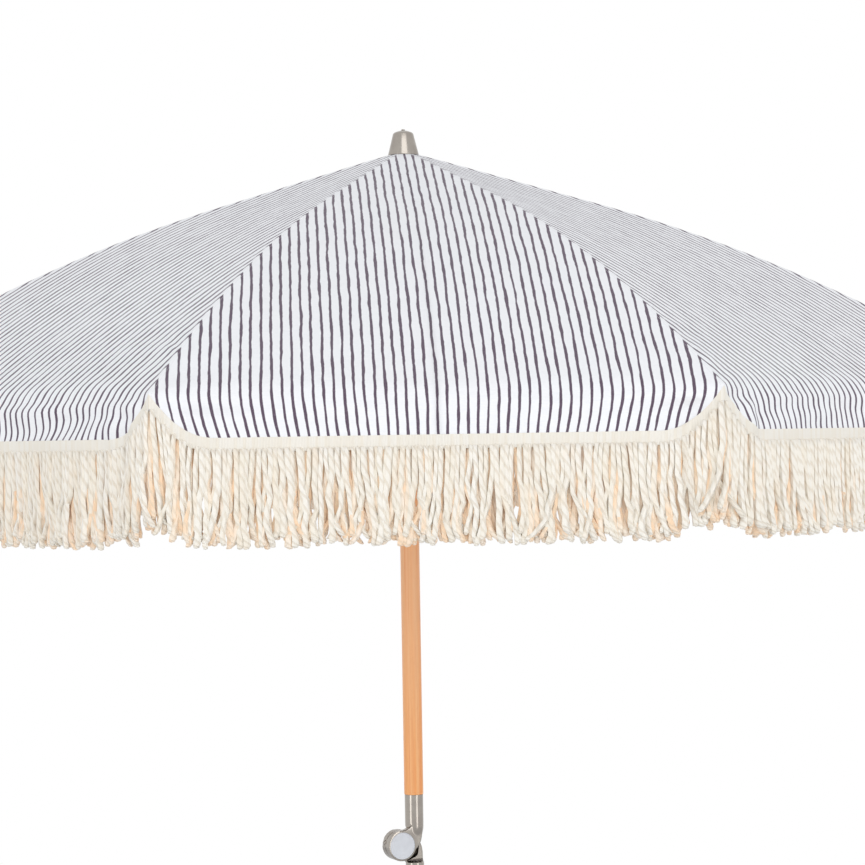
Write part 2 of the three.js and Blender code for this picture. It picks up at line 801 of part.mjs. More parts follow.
/** The gore: cloth from the collar to the hem, with its valance. */
function goreSolid() {
  const outer = [];
  const inner = [];
  const stations = [canopyHoleRadius, collarRadius, bendStart * 0.4, bendStart, clipRadius];
  const bends = 4;
  for (let i = 1; i <= bends; i++) {
    stations.push(THREE.MathUtils.lerp(clipRadius, canopyRadius, i / bends));
  }
  for (const radius of stations) {
    const { z, slope } = clothLine(radius);
    outer.push(acrossGore(radius, () => z));
    const inside = radius - fabricThickness * Math.sin(slope);
    inner.push(acrossGore(inside, () => z - fabricThickness * Math.cos(slope)));
  }
  outer.push(acrossGore(canopyRadius, (d) => tipLevel - hemFall(d)));
  inner.push(acrossGore(canopyRadius - fabricThickness, (d) => tipLevel - hemFall(d)));
  return sheet(outer, inner);
}

/** The fringe: one closed curtain under the hem. */
function fringeSolid() {
  const top = (d) => tipLevel - hemFall(d) - seatGap;
  const bottom = (d) => {
    const lift = (valanceDrop - hemFall(d)) / (valanceDrop - valanceAtTip);
    return tipLevel - valanceDrop - fringeDrop + fringeLift * lift;
  };
  const faces = [canopyRadius, canopyRadius - fringeThickness];
  const [outer, inner] = faces.map((radius) => [acrossGore(radius, top), acrossGore(radius, bottom)]);
  return sheet(outer, inner);
}

const perRib = [
  ["rib", ribSolid(), glassFibre],
  ["rib_clip", clipSolid(), creamPlastic],
  ["stretcher", stretcherSolid(), satinNickel],
  ["canopy_gore", goreSolid(), stripedCanvas],
  ["fringe", fringeSolid(), cottonFringe],
];
for (let k = 0; k < ribCount; k++) {
  const arm = new THREE.Group();
  arm.rotation.z = panelTurn * k;
  umbrella.add(arm);
  for (const [name, made, material] of perRib) add(`${name}_${k + 1}`, made, material, arm);
}

export default umbrella;
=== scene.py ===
import json
import random
from math import asin, atan, atan2, cos, dist, exp, pi, radians, sin, tan

import bmesh
import bpy
from mathutils import Matrix, Vector, noise


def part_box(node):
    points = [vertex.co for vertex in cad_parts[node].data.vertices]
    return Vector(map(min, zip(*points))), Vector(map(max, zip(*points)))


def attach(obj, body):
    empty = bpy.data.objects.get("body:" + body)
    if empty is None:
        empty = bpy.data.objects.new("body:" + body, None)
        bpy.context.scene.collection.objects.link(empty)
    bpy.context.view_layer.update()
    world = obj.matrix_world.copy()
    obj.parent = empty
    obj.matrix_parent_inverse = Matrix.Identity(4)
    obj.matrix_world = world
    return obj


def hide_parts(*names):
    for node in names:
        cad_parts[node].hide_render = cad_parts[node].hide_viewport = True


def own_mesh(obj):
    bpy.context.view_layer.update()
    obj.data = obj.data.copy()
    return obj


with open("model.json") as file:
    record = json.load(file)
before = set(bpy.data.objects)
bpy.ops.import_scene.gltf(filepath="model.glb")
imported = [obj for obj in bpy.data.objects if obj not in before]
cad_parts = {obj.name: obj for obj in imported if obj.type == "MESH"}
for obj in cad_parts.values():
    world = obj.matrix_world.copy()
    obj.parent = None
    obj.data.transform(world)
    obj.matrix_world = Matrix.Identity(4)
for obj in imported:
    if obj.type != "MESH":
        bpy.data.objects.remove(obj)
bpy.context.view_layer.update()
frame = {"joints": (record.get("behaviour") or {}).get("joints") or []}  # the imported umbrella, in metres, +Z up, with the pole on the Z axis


# ---- Camera ----
# It stands level with the canopy's hem, a little to the left of the front panel's middle, so that the
# hem is seen edge on, and it leans slightly, as a camera held by hand does.
canopy_low, canopy_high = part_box("canopy_gore_1")
hem_level = canopy_low.z
camera_data = bpy.data.cameras.new("camera")
camera_data.sensor_width = 36
camera_data.lens = 112
camera_data.shift_x = 0.0283
camera_data.shift_y = 0.0052
camera = bpy.data.objects.new("camera", camera_data)
camera_turn = radians(-25)
camera_distance = 4.5
camera_lean = radians(-0.93)
camera.matrix_world = (
    Matrix.Rotation(camera_turn, 4, "Z")
    @ Matrix.Translation((0, -camera_distance, hem_level))
    @ Matrix.Rotation(pi / 2, 4, "X")
    @ Matrix.Rotation(camera_lean, 4, "Z")
)
bpy.context.scene.collection.objects.link(camera)
bpy.context.scene.camera = camera
bpy.context.scene.view_settings.view_transform = "Standard"


# ---- Studio: sky light, lamps and floor ----
# A pale round floor under an even white sky. One broad lamp and two tall strips stand round the camera:
# the strips draw the long bright lines on the turned metal.
class Value:
    """One output of a shader node. An expression written with it adds Math nodes."""

    def __init__(self, shading, socket):
        self.shading = shading
        self.socket = socket

    def maths(self, operation, *terms):
        return self.shading.node("ShaderNodeMath", {"operation": operation}, dict(enumerate(terms)))

    def __add__(self, other):
        return self.maths("ADD", self, other)

    def __sub__(self, other):
        return self.maths("SUBTRACT", self, other)

    def __rsub__(self, other):
        return self.maths("SUBTRACT", other, self)

    def __mul__(self, other):
        return self.maths("MULTIPLY", self, other)

    def __truediv__(self, other):
        return self.maths("DIVIDE", self, other)

    def __abs__(self):
        return self.maths("ABSOLUTE", self)

    __radd__ = __add__
    __rmul__ = __mul__

    def floor(self):
        return self.maths("FLOOR", self)

    def sine(self):
        return self.maths("SINE", self)

    def rise(self, low, high):
        """0 below low and 1 above high, with a smooth step between them."""
        limits = {"Value": self, "From Min": low, "From Max": high}
        return self.shading.node("ShaderNodeMapRange", {"interpolation_type": "SMOOTHSTEP"}, limits)


class Shading:
    """The nodes of a material or of the sky. All but its first nodes are made by one method."""

    def __init__(self, tree):
        self.tree = tree

    def node(self, kind, settings=None, inputs=None, output=0):
        made = self.tree.nodes.new(kind)
        for name, value in (settings or {}).items():
            setattr(made, name, value)
        for name, value in (inputs or {}).items():
            self.join(value, made.inputs[name])
        return Value(self, made.outputs[output])

    def join(self, value, socket):
        if isinstance(value, Value):
            self.tree.links.new(value.socket, socket)
        elif socket.type == "RGBA":
            socket.default_value = (*value, 1)
        else:
            socket.default_value = value

    def mix(self, share, low, high):
        """A colour between low and high."""
        return self.node("ShaderNodeMix", {"data_type": "RGBA"}, {0: share, 6: low, 7: high}, output=2)

    def at(self, where="Object", scale=(1, 1, 1)):
        """Object coordinates, or those of a named UV map, stretched by scale."""
        if where == "Object":
            place = self.node("ShaderNodeTexCoord", output="Object")
        else:
            place = self.node("ShaderNodeUVMap", {"uv_map": where})
        return self.node("ShaderNodeMapping", None, {"Vector": place, "Scale": scale})

    def parts(self, vector):
        """The x, y and z of a vector."""
        split = self.node("ShaderNodeSeparateXYZ", None, {"Vector": vector}).socket.node
        return [Value(self, part) for part in split.outputs]

    def noise(self, place, detail=2, roughness=0.5, scale=1):
        """Noise over a vector, or over object coordinates stretched by three numbers."""
        if isinstance(place, tuple):
            place = self.at(scale=place)
        inputs = {"Vector": place, "Scale": scale, "Detail": detail, "Roughness": roughness}
        return self.node("ShaderNodeTexNoise", None, inputs)

    def surface(self, base, roughness, height=None, strength=0.1, distance=0.0001):
        """Joins a colour, a roughness and, where there is a height, a relief to the Principled shader."""
        self.join(base, self.shader["Base Color"])
        self.join(roughness, self.shader["Roughness"])
        if height:
            relief = {"Strength": strength, "Distance": distance, "Height": height}
            self.join(self.node("ShaderNodeBump", None, relief), self.shader["Normal"])


def colour(red, green, blue):
    """A colour as it looks on a screen, each part 0 to 255, as the linear values of a shader."""
    parts = (red / 255, green / 255, blue / 255)
    return tuple(p / 12.92 if p <= 0.04045 else ((p + 0.055) / 1.055) ** 2.4 for p in parts)


def finish(name, constants):
    """A material whose Principled shader starts with these plain values."""
    material = bpy.data.materials.new(name)
    material.use_nodes = True
    made = Shading(material.node_tree)
    made.material = material
    made.shader = material.node_tree.nodes["Principled BSDF"].inputs
    for socket, value in constants.items():
        made.join(value, made.shader[socket])
    return made


sky = bpy.data.worlds.new("sky")
bpy.context.scene.world = sky
sky.use_nodes = True
sky_nodes = Shading(sky.node_tree)
sky_light = sky.node_tree.nodes["Background"]
sky_light.inputs["Color"].default_value = (0.97, 0.985, 1, 1)
sky_light.inputs["Strength"].default_value = 0.77
white = sky_nodes.node("ShaderNodeBackground", None, {"Color": (1, 1, 1), "Strength": 1})
ray_kinds = ("Camera", "Glossy", "Transmission")
rays = [sky_nodes.node("ShaderNodeLightPath", output=f"Is {kind} Ray") for kind in ray_kinds]
seen = (rays[0] + rays[1] + rays[2]).rise(0, 1)
sky_shaders = {0: seen, 1: Value(sky_nodes, sky_light.outputs[0]), 2: white}
sky_mix = sky_nodes.node("ShaderNodeMixShader", None, sky_shaders)
sky_nodes.join(sky_mix, sky.node_tree.nodes["World Output"].inputs["Surface"])


def lamp(name, place, aim, width, height, power):
    """A soft rectangular lamp that faces a point."""
    data = bpy.data.lights.new(name, "AREA")
    data.shape = "RECTANGLE"
    data.size = width
    data.size_y = height
    data.energy = power
    made = bpy.data.objects.new(name, data)
    facing = (Vector(aim) - Vector(place)).to_track_quat("-Z", "Y").to_matrix().to_4x4()
    made.matrix_world = Matrix.Translation(place) @ facing
    bpy.context.scene.collection.objects.link(made)


lamp("broad_lamp", (-1.4, -4.9, 4.8), (0, 0, 1.6), 4.4, 2.6, 52)
lamp("left_strip", (-4.6, -1.95, 1.5), (0, 0, 1.5), 1.2, 3.4, 30)
lamp("right_strip", (1.1, -4.9, 1.5), (0, 0, 1.5), 1.2, 3.4, 30)

floor_radius = 4.5
floor_finish = finish("floor", {"Roughness": 0.9, "Base Color": colour(244, 244, 244)})
bm = bmesh.new()
bmesh.ops.create_circle(bm, cap_ends=True, segments=96, radius=floor_radius)
floor_mesh = bpy.data.meshes.new("floor")
bm.to_mesh(floor_mesh)
bm.free()
floor_mesh.materials.append(floor_finish.material)
floor = bpy.data.objects.new("floor", floor_mesh)
bpy.context.scene.collection.objects.link(floor)


# ---- Lower pole ----
# A straight beech stick, turned down at both ends to fit the sand tip and the knuckle, sanded and
# finished with a clear satin lacquer. A small screw holds it in each socket.
def spun(bm, profile, sides=64, ease=0.0006):
    """Adds a shape spun about the Z axis from a half outline of [radius, height] points."""
    points = [bm.verts.new((r, 0, z)) for r, z in profile]
    lines = [bm.edges.new(pair) for pair in zip(points, points[1:])]
    closed = profile[0] == profile[-1]
    if closed:
        bmesh.ops.remove_doubles(bm, verts=points, dist=1e-7)
        points = [v for v in points if v.is_valid]
        lines = [e for e in lines if e.is_valid]
    corners = points if closed else points[1:-1]
    if ease:
        eased = bmesh.ops.bevel(
            bm, geom=corners, offset=ease, offset_type="OFFSET", affect="VERTICES",
            segments=3, profile=0.5, material=-1,
        )
        points = list(dict.fromkeys([v for v in points if v.is_valid] + eased["verts"]))
        lines = list(dict.fromkeys(e for v in points for e in v.link_edges))
    bmesh.ops.spin(
        bm, geom=points + lines, cent=(0, 0, 0), axis=(0, 0, 1), angle=2 * pi,
        steps=sides, use_merge=True,
    )
    bmesh.ops.remove_doubles(bm, verts=bm.verts, dist=1e-6)
    bmesh.ops.recalc_face_normals(bm, faces=bm.faces)


def piece(name, bm, material, crease=35):
    """Turns a bmesh into an object at the origin, shaded smooth but for edges sharper than crease."""
    mesh = bpy.data.meshes.new(name)
    bm.to_mesh(mesh)
    bm.free()
    mesh.shade_smooth()
    mesh.set_sharp_from_angle(angle=radians(crease))
    mesh.materials.append(material.material)
    made = bpy.data.objects.new(name, mesh)
    bpy.context.scene.collection.objects.link(made)
    return made


def turned(name, material, profile, sides=64, ease=0.0006, place=None):
    """A piece spun about the Z axis and then moved to its place."""
    bm = bmesh.new()
    spun(bm, profile, sides, ease)
    if place:
        bm.transform(place)
    return piece(name, bm, material)


pole_radius = 0.016
tenon_radius = 0.0134
wood_gap = 0.0003
tip_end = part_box("sand_tip")[1].z
lower_wood_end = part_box("lower_knuckle")[0].z

beech = finish("beech", {"Coat Weight": 0.25, "Coat Roughness": 0.28})
board = beech.noise((120, 120, 1.3), detail=3)
fibres = beech.noise((900, 900, 14), detail=3, roughness=0.6)
flecks = beech.noise((1500, 1500, 130), detail=1).rise(0.66, 0.78)
pores = beech.noise((2600, 2600, 60), detail=1).rise(0.6, 0.74)
wood = beech.mix(board.rise(0.32, 0.68), colour(254, 172, 95), colour(255, 192, 130))
wood = beech.mix(fibres.rise(0.35, 0.75) * 0.5, wood, colour(244, 156, 90))
wood = beech.mix(flecks * 0.5, wood, colour(226, 140, 82))
wood = beech.mix(pores * 0.28, wood, colour(214, 128, 74))
# Painted light: towards the top of the pole the wood is mixed paler, a painted lift for how the light falls
# there.
up_pole = beech.parts(beech.at())[2]
wood = beech.mix(up_pole.rise(1.1, 1.5) * 0.45, wood, colour(255, 202, 160))
streak = beech.noise((300, 300, 3.5), detail=2).rise(0.52, 0.68)
wood = beech.mix(streak * 0.45, wood, colour(240, 142, 76))
beech.surface(wood, 0.38 + fibres * 0.12, fibres - flecks, 0.25, 0.0002)

lower_pole_low, lower_pole_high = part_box("lower_pole")
lower_pole = turned("lower_pole_wood", beech, [
    (0, lower_pole_low.z), (tenon_radius, lower_pole_low.z),
    (tenon_radius, tip_end + wood_gap), (pole_radius, tip_end + wood_gap),
    (pole_radius, lower_wood_end - wood_gap), (tenon_radius, lower_wood_end - wood_gap),
    (tenon_radius, lower_pole_high.z), (0, lower_pole_high.z),
])
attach(lower_pole, "lower")
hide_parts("lower_pole")


# ---- Sand tip ----
# A spun and nickel-plated steel spike with a straight ferrule that takes the end of the pole. Its
# blunt nose goes into the sand or rests in the bottom of a base. The nickel is painted dark and dull only
# inside the pocket of the knuckle's lower half: painted shade for that recess, marked out by the pocket mask.
tip_face = 0.006
ferrule = 0.025
tip_wall = 0.0023

satin_nickel = finish("satin_nickel", {"Metallic": 1})
turning = satin_nickel.noise((260, 260, 2600), detail=2)
cloud = satin_nickel.noise((40, 40, 40), detail=3)
metal = satin_nickel.mix(cloud.rise(0.3, 0.7), colour(158, 151, 144), colour(171, 165, 157))
metal = satin_nickel.mix(turning * 0.3, metal, colour(138, 131, 124))
aside, back, up = satin_nickel.parts(satin_nickel.at())
level = abs(up - 1)
# Painted shade: this mask paints the nickel near black inside the recess of the knuckle's lower half.
pocket_shade = back.rise(0.001, 0.0014) * (1 - back.rise(0.0112, 0.0117)) * (1 - level.rise(0.0275, 0.0279))
pocket_shade = pocket_shade * (1 - (aside + level * 0.2).rise(0.0092, 0.0094)) * aside.rise(-0.0175, -0.0173)
metal = satin_nickel.mix(pocket_shade, metal, colour(52, 46, 38))
satin_nickel.surface(metal, 0.14 + turning * 0.07 + cloud * 0.05 + pocket_shade * 0.3, turning, 0.12)

sand_tip = turned("sand_tip_spike", satin_nickel, [
    (0, 0), (tip_face, 0), (tip_face + 0.0009, 0.004),
    (pole_radius, tip_end - ferrule), (pole_radius, tip_end - ferrule + 0.002),
    (pole_radius - 0.0004, tip_end - ferrule + 0.0028), (pole_radius, tip_end - ferrule + 0.0036),
    (pole_radius, tip_end), (pole_radius - tip_wall, tip_end),
    (pole_radius - tip_wall, tip_end - ferrule), (0, tip_end - ferrule),
], ease=0.0004)
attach(sand_tip, "lower")
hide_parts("sand_tip")


# ---- Knuckle halves ----
# Two die-cast halves, plated in satin nickel. Each is a tube for the end of a pole with a flat arm
# beside it that ends in a round disc. The discs lie face to face on the tilt bolt.
def applied(obj):
    """Makes an object's modifiers part of its mesh."""
    graph = bpy.context.evaluated_depsgraph_get()
    mesh = bpy.data.meshes.new_from_object(obj.evaluated_get(graph))
    obj.modifiers.clear()
    obj.data = mesh
    return obj


def carved(obj, bm):
    """Cuts closed shapes out of a piece."""
    mesh = bpy.data.meshes.new("cutter")
    bm.to_mesh(mesh)
    bm.free()
    tool = bpy.data.objects.new("cutter", mesh)
    bpy.context.scene.collection.objects.link(tool)
    cut = obj.modifiers.new("cut", "BOOLEAN")
    cut.operation = "DIFFERENCE"
    cut.solver = "EXACT"
    cut.object = tool
    applied(obj)
    bpy.data.objects.remove(tool)
    bpy.data.meshes.remove(mesh)
    obj.data.shade_smooth()
    obj.data.set_sharp_from_angle(angle=radians(35))
    return obj


def drum(bm, centre, radius, length, axis="Y", sides=64):
    """Adds a closed cylinder about an axis through its centre."""
    place = Matrix.Translation(centre) @ Matrix.Rotation(pi / 2 if axis == "Y" else 0, 4, "X")
    return bmesh.ops.create_cone(
        bm, cap_ends=True, segments=sides, radius1=radius, radius2=radius, depth=length, matrix=place,
    )["verts"]


def bored(obj, centre, radius, length, axis="Y", sides=64):
    """Cuts a round hole into a piece."""
    hole = bmesh.new()
    drum(hole, centre, radius, length, axis, sides)
    return carved(obj, hole)


def slab(bm, outline, start, depth):
    """Adds a plate: an outline in the XZ plane at y = start, pushed along Y by depth."""
    corners = [bm.verts.new((x, start, z)) for x, z in outline]
    pushed = bmesh.ops.extrude_face_region(bm, geom=[bm.faces.new(corners)])
    far = [v for v in pushed["geom"] if isinstance(v, bmesh.types.BMVert)]
    bmesh.ops.translate(bm, verts=far, vec=(0, depth, 0))
    bmesh.ops.recalc_face_normals(bm, faces=bm.faces)


pivot = Vector((-0.028, 0, 1.0))
disc_radius = pivot.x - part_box("upper_knuckle")[0].x
disc_half = 0.013
disc_gap = 0.0006
upper_wood_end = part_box("upper_knuckle")[1].z
tenon_length = 0.042
tube_radius = 0.0154
socket_radius = 0.0142
rim_radius = disc_radius - 0.0004
arm_inset = 0.0003
toe_stretch = 1.65
cast_detail = 0.0009
cast_smoothing = 10
shoulder = 0.031
lug_radius = 0.0032
lug_drop = 0.0055


def cast(half, smoothing=0):
    """Makes one skin of the shapes that a piece is built of, as a casting has."""
    skin = half.modifiers.new("skin", "REMESH")
    skin.mode = "VOXEL"
    skin.voxel_size = cast_detail
    if smoothing:
        soften = half.modifiers.new("soften", "SMOOTH")
        soften.factor = 0.5
        soften.iterations = smoothing
    return applied(half)


def knuckle_half(name, edge, lug, pocket):
    """A half as the upper one lies: disc in front of the parting plane, arm, and tube up to the pole."""
    bm = bmesh.new()
    thick = disc_half - disc_gap
    middle = -disc_half + thick / 2
    drum(bm, (pivot.x, middle, pivot.z), rim_radius, thick, sides=96)
    drum(bm, (pivot.x, middle - 0.0002, pivot.z), disc_radius - 0.0016, thick, sides=96)
    if lug:
        lug_place = (pivot.x - disc_radius + 0.0012, middle + 0.002, pivot.z - lug_drop)
        drum(bm, lug_place, lug_radius, 0.006, sides=24)
    tube_low = pivot.z + shoulder
    tube_length = upper_wood_end - tube_low + 0.008
    drum(bm, (0, 0, tube_low + tube_length / 2), tube_radius, tube_length, "Z")
    toe = Matrix.Translation((0, 0, tube_low)) @ Matrix.Diagonal((1, 1, toe_stretch, 1))
    bmesh.ops.create_uvsphere(bm, u_segments=64, v_segments=40, radius=tube_radius, matrix=toe)
    outline = [(-0.0084, 1.04), (-0.009, 1.036), (-0.011, 1.0322), (-0.014, 1.0294), (-0.0175, 1.0274)]
    outline += [(-0.022, 1.026), (-0.028, 1.0254), (-0.028, 0.98), (-0.012, 0.984), *edge]
    slab(bm, outline, arm_inset - disc_half, thick - arm_inset)
    half = cast(piece(name, bm, satin_nickel))
    room = bmesh.new()
    room_place = Matrix.Translation((0, 0.0294, 0.999)) @ Matrix.Diagonal((0.09, 0.06, 0.06, 1))
    bmesh.ops.create_cube(room, size=1, matrix=room_place)
    bmesh.ops.bevel(
        room, geom=room.edges[:], offset=0.006, affect="EDGES", segments=5, profile=0.5, material=-1,
    )
    cast(carved(half, room), cast_smoothing)
    for vert in half.data.vertices:
        from_axis = Vector((vert.co.x, vert.co.y))
        # Brings the tube and the disc's rim back to round where the smoothing has drawn them in.
        bulges = vert.co.x > 0 and from_axis.length > tube_radius
        if bulges or (vert.co.z > tube_low + 0.004 and from_axis.length > tube_radius - 0.0012):
            vert.co.xy = from_axis.normalized() * tube_radius
        from_pivot = Vector((vert.co.x - pivot.x, vert.co.z - pivot.z))
        plain_rim = from_pivot.x < -0.004 and abs(from_pivot.y + lug_drop) > (0.006 if lug else -1)
        if plain_rim and disc_radius - 0.0012 < from_pivot.length < disc_radius + 0.001:
            from_pivot = from_pivot.normalized() * rim_radius
            vert.co.x = pivot.x + from_pivot.x
            vert.co.z = pivot.z + from_pivot.y
    half.data.materials.clear()
    half.data.materials.append(satin_nickel.material)
    bored(half, (0, 0, upper_wood_end + 0.001), socket_radius, 2 * tenon_length, "Z", 48)
    bored(half, (0, 0, upper_wood_end + 0.01), pole_radius + 0.002, 0.02, "Z", 48)
    if not pocket:
        return half
    hollow = bmesh.new()
    slab(hollow, pocket, 0.001, -0.011)
    return carved(half, hollow)


upper_edge = [
    (-0.005, 0.991), (0.0002, 0.9955), (0.0044, 1.001), (0.0066, 1.006), (0.008, 1.0115),
    (0.009, 1.0175), (0.0094, 1.024), (0.0094, 1.04),
]
lower_edge = [
    (-0.002, 0.9895), (0.006, 0.9925), (0.0102, 0.9965), (0.0124, 1.001), (0.014, 1.005),
    (0.0152, 1.011), (0.0158, 1.018), (0.0158, 1.04),
]
lower_pocket = [
    (-0.004, 0.9985), (0.0089, 0.9985), (0.0084, 1.004), (0.0075, 1.01), (0.0068, 1.015), (0.0056, 1.019),
    (0.002, 1.022), (-0.005, 1.0246), (-0.011, 1.0262), (-0.0165, 1.0268), (-0.0165, 1.02),
    (-0.0095, 1.014), (-0.006, 1.008),
]
upper_half = knuckle_half("knuckle_upper_half", upper_edge, lug=False, pocket=None)
lower_half = knuckle_half("knuckle_lower_half", lower_edge, lug=True, pocket=lower_pocket)
to_pivot = Matrix.Translation((0, 0, pivot.z))
lower_half.data.transform(to_pivot @ Matrix.Rotation(pi, 4, "X") @ to_pivot.inverted())

button_radius = disc_radius - 0.0032
bored(upper_half, (pivot.x, -disc_half, pivot.z), button_radius, 0.016)
for half, body, node in ((upper_half, "upper", "upper_knuckle"), (lower_half, "lower", "lower_knuckle")):
    bored(half, (pivot.x, 0, pivot.z), 0.0043, 0.04, sides=32)
    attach(half, body)
    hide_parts(node)


# ---- Tilt bolt and cap nut ----
# The bolt through both discs is the tilt hinge. Its head sits in the recess behind the button, and a
# low domed nut of bright steel shows on the back.
steel = finish("bright_steel", {"Metallic": 1})
scratches = steel.noise((700, 700, 700), detail=3)
bright = steel.mix(scratches.rise(0.3, 0.75), colour(196, 195, 192), colour(172, 171, 169))
steel.surface(bright, 0.18 + scratches * 0.16)

bolt_radius = 0.004
head_radius = 0.0065
head_height = 0.003
bm = bmesh.new()
bolt_low, bolt_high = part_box("tilt_bolt")
shank_start = bolt_low.y + 0.002
drum(bm, (pivot.x, (shank_start + bolt_high.y) / 2, pivot.z), bolt_radius, bolt_high.y - shank_start, sides=40)
head = drum(bm, (pivot.x, bolt_low.y + head_height / 2, pivot.z), head_radius, head_height, sides=6)
edges = list(dict.fromkeys(e for v in head for e in v.link_edges))
bmesh.ops.bevel(bm, geom=edges, offset=0.0004, affect="EDGES", segments=2, profile=0.5, material=-1)
tilt_bolt = piece("tilt_bolt_steel", bm, steel)
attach(tilt_bolt, "lower")
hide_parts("tilt_bolt")

nut_low, nut_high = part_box("tilt_nut")
nut_height = nut_high.y - nut_low.y
on_bolt = Matrix.Translation((pivot.x, nut_low.y, pivot.z)) @ Matrix.Rotation(-pi / 2, 4, "X")
tilt_nut = turned("tilt_nut_domed", steel, [
    (0.0043, 0), (0.0078, 0), (0.0078, nut_height * 0.45), (0.0064, nut_height * 0.8),
    (0.0035, nut_height), (0, nut_height), (0, nut_height - 0.002), (0.0043, nut_height - 0.003), (0.0043, 0),
], sides=48, ease=0, place=on_bolt)
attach(tilt_nut, "lower")
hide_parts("tilt_nut")


# ---- Tilt button and its spring ----
# The round cap is a moulded grey button with a plain face. Pushed in against the coil spring behind
# it, it frees the discs so that the canopy tilts.
pale_plastic = finish("pale_plastic", {"Specular IOR Level": 0.4})
mottle = pale_plastic.noise((1800, 1800, 1800), detail=2)
shade = pale_plastic.noise((60, 60, 60), detail=2)
cap_colour = pale_plastic.mix(shade.rise(0.3, 0.7), colour(215, 218, 224), colour(221, 224, 230))
pale_plastic.surface(cap_colour, 0.42 + mottle * 0.14, mottle, 0.15)

cap_radius = button_radius - 0.0003
outward = Matrix.Translation((pivot.x, -disc_half, pivot.z)) @ Matrix.Rotation(pi / 2, 4, "X")
tilt_cap = turned("tilt_button_cap", pale_plastic, [
    (0, -0.0008), (cap_radius - 0.002, -0.0008), (cap_radius - 0.002, -0.0048), (cap_radius, -0.0048),
    (cap_radius, 0.0002), (cap_radius - 0.0012, 0.0012), (cap_radius - 0.003, 0.00135),
    (cap_radius * 0.5, 0.0017), (0, 0.0018),
], sides=96, ease=0.0003, place=outward)
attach(tilt_cap, "button")
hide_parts("tilt_button")


def coil(bm, radius, wire, low, high, turns, steps=24, sides=8):
    """Adds a round wire wound about the Z axis."""
    grid = bmesh.ops.create_grid(bm, x_segments=sides, y_segments=turns * steps, size=0.5)["verts"]
    for vert in grid:
        across = (vert.co.x + 0.5) * 2 * pi
        along = vert.co.y + 0.5
        angle = along * turns * 2 * pi
        reach = radius + wire * cos(across)
        height = low + wire + (high - low - 2 * wire) * along + wire * sin(across)
        vert.co = (reach * cos(angle), reach * sin(angle), height)
    bmesh.ops.remove_doubles(bm, verts=bm.verts, dist=1e-7)
    bmesh.ops.holes_fill(bm, edges=[e for e in bm.edges if e.is_boundary])
    bmesh.ops.recalc_face_normals(bm, faces=bm.faces)


spring_seat = 0.0077
bm = bmesh.new()
coil(bm, radius=0.0095, wire=0.0005, low=-spring_seat, high=-0.0011, turns=4)
bm.transform(outward)
button_spring = piece("button_spring_coil", bm, steel)
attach(button_spring, "upper")
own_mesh(button_spring)
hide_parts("button_spring")


# ---- Upper pole ----
# The same beech stick, from the knuckle up through the runner to the crown. A narrow slot cut in one
# side holds the runner's catch.
pole_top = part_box("upper_pole")[1].z
upper_pole = turned("upper_pole_wood", beech, [
    (0, upper_wood_end - tenon_length), (tenon_radius, upper_wood_end - tenon_length),
    (tenon_radius, upper_wood_end + wood_gap), (pole_radius, upper_wood_end + wood_gap),
    (pole_radius, pole_top), (0, pole_top),
])
catch_low, catch_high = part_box("runner_catch")
slot_back = 0.0015
slot_front = 0.02
bm = bmesh.new()
slot_middle = ((slot_back + slot_front) / 2, 0, (catch_low.z + catch_high.z) / 2 + 0.0005)
slot_size = (slot_front - slot_back, 0.006, catch_high.z - catch_low.z + 0.003)
bmesh.ops.create_cube(bm, size=1, matrix=Matrix.Translation(slot_middle) @ Matrix.Diagonal((*slot_size, 1)))
carved(upper_pole, bm)
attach(upper_pole, "upper")
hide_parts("upper_pole")


# ---- Runner catch and its pin ----
# One bent strip of spring steel on a cross pin. Its tooth stands out of the pole under the runner and
# holds the canopy open, until a thumb presses it into the slot.
catch_pin_low, catch_pin_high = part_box("catch_pin")
catch_pin_middle = (catch_pin_low + catch_pin_high) / 2
strip_half = (catch_high.y - catch_low.y) / 2
strip_wall = 0.0015
eye_bore = 0.0018
eye_radius = 0.0038
bm = bmesh.new()
bend = [
    (catch_pin_middle.x + 0.0032, catch_pin_middle.z), (catch_high.x, catch_high.z - 0.004),
    (catch_high.x, catch_high.z - 0.002), (pole_radius, catch_high.z), (catch_low.x + 0.0004, catch_high.z),
]
line = [bm.verts.new((x, -strip_half, z)) for x, z in bend]
for pair in zip(line, line[1:]):
    bm.edges.new(pair)
bmesh.ops.bevel(bm, geom=line[1:-1], offset=0.0012, affect="VERTICES", segments=4, profile=0.5, material=-1)
pushed = bmesh.ops.extrude_edge_only(bm, edges=bm.edges[:])
far = [v for v in pushed["geom"] if isinstance(v, bmesh.types.BMVert)]
bmesh.ops.translate(bm, verts=far, vec=(0, 2 * strip_half, 0))
bmesh.ops.recalc_face_normals(bm, faces=bm.faces)
if sum(f.normal.x for f in bm.faces) < 0:
    bmesh.ops.reverse_faces(bm, faces=bm.faces)
bmesh.ops.solidify(bm, geom=bm.faces[:], thickness=strip_wall)
bmesh.ops.recalc_face_normals(bm, faces=bm.faces)
eye = bmesh.new()
spun(eye, [
    (eye_bore, -strip_half), (eye_radius, -strip_half), (eye_radius, strip_half), (eye_bore, strip_half),
    (eye_bore, -strip_half),
], sides=40, ease=0)
across_pole = Matrix.Translation(catch_pin_middle) @ Matrix.Rotation(pi / 2, 4, "X")
eye.transform(across_pole)
eye_mesh = bpy.data.meshes.new("eye")
eye.to_mesh(eye_mesh)
eye.free()
bm.from_mesh(eye_mesh)
bpy.data.meshes.remove(eye_mesh)
runner_catch = piece("runner_catch_strip", bm, steel)
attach(runner_catch, "catch")
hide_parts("runner_catch")

bm = bmesh.new()
drum(bm, catch_pin_middle, 0.0015, catch_pin_high.y - catch_pin_low.y, sides=24)
catch_pin = piece("catch_pin_steel", bm, steel)
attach(catch_pin, "upper")
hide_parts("catch_pin")


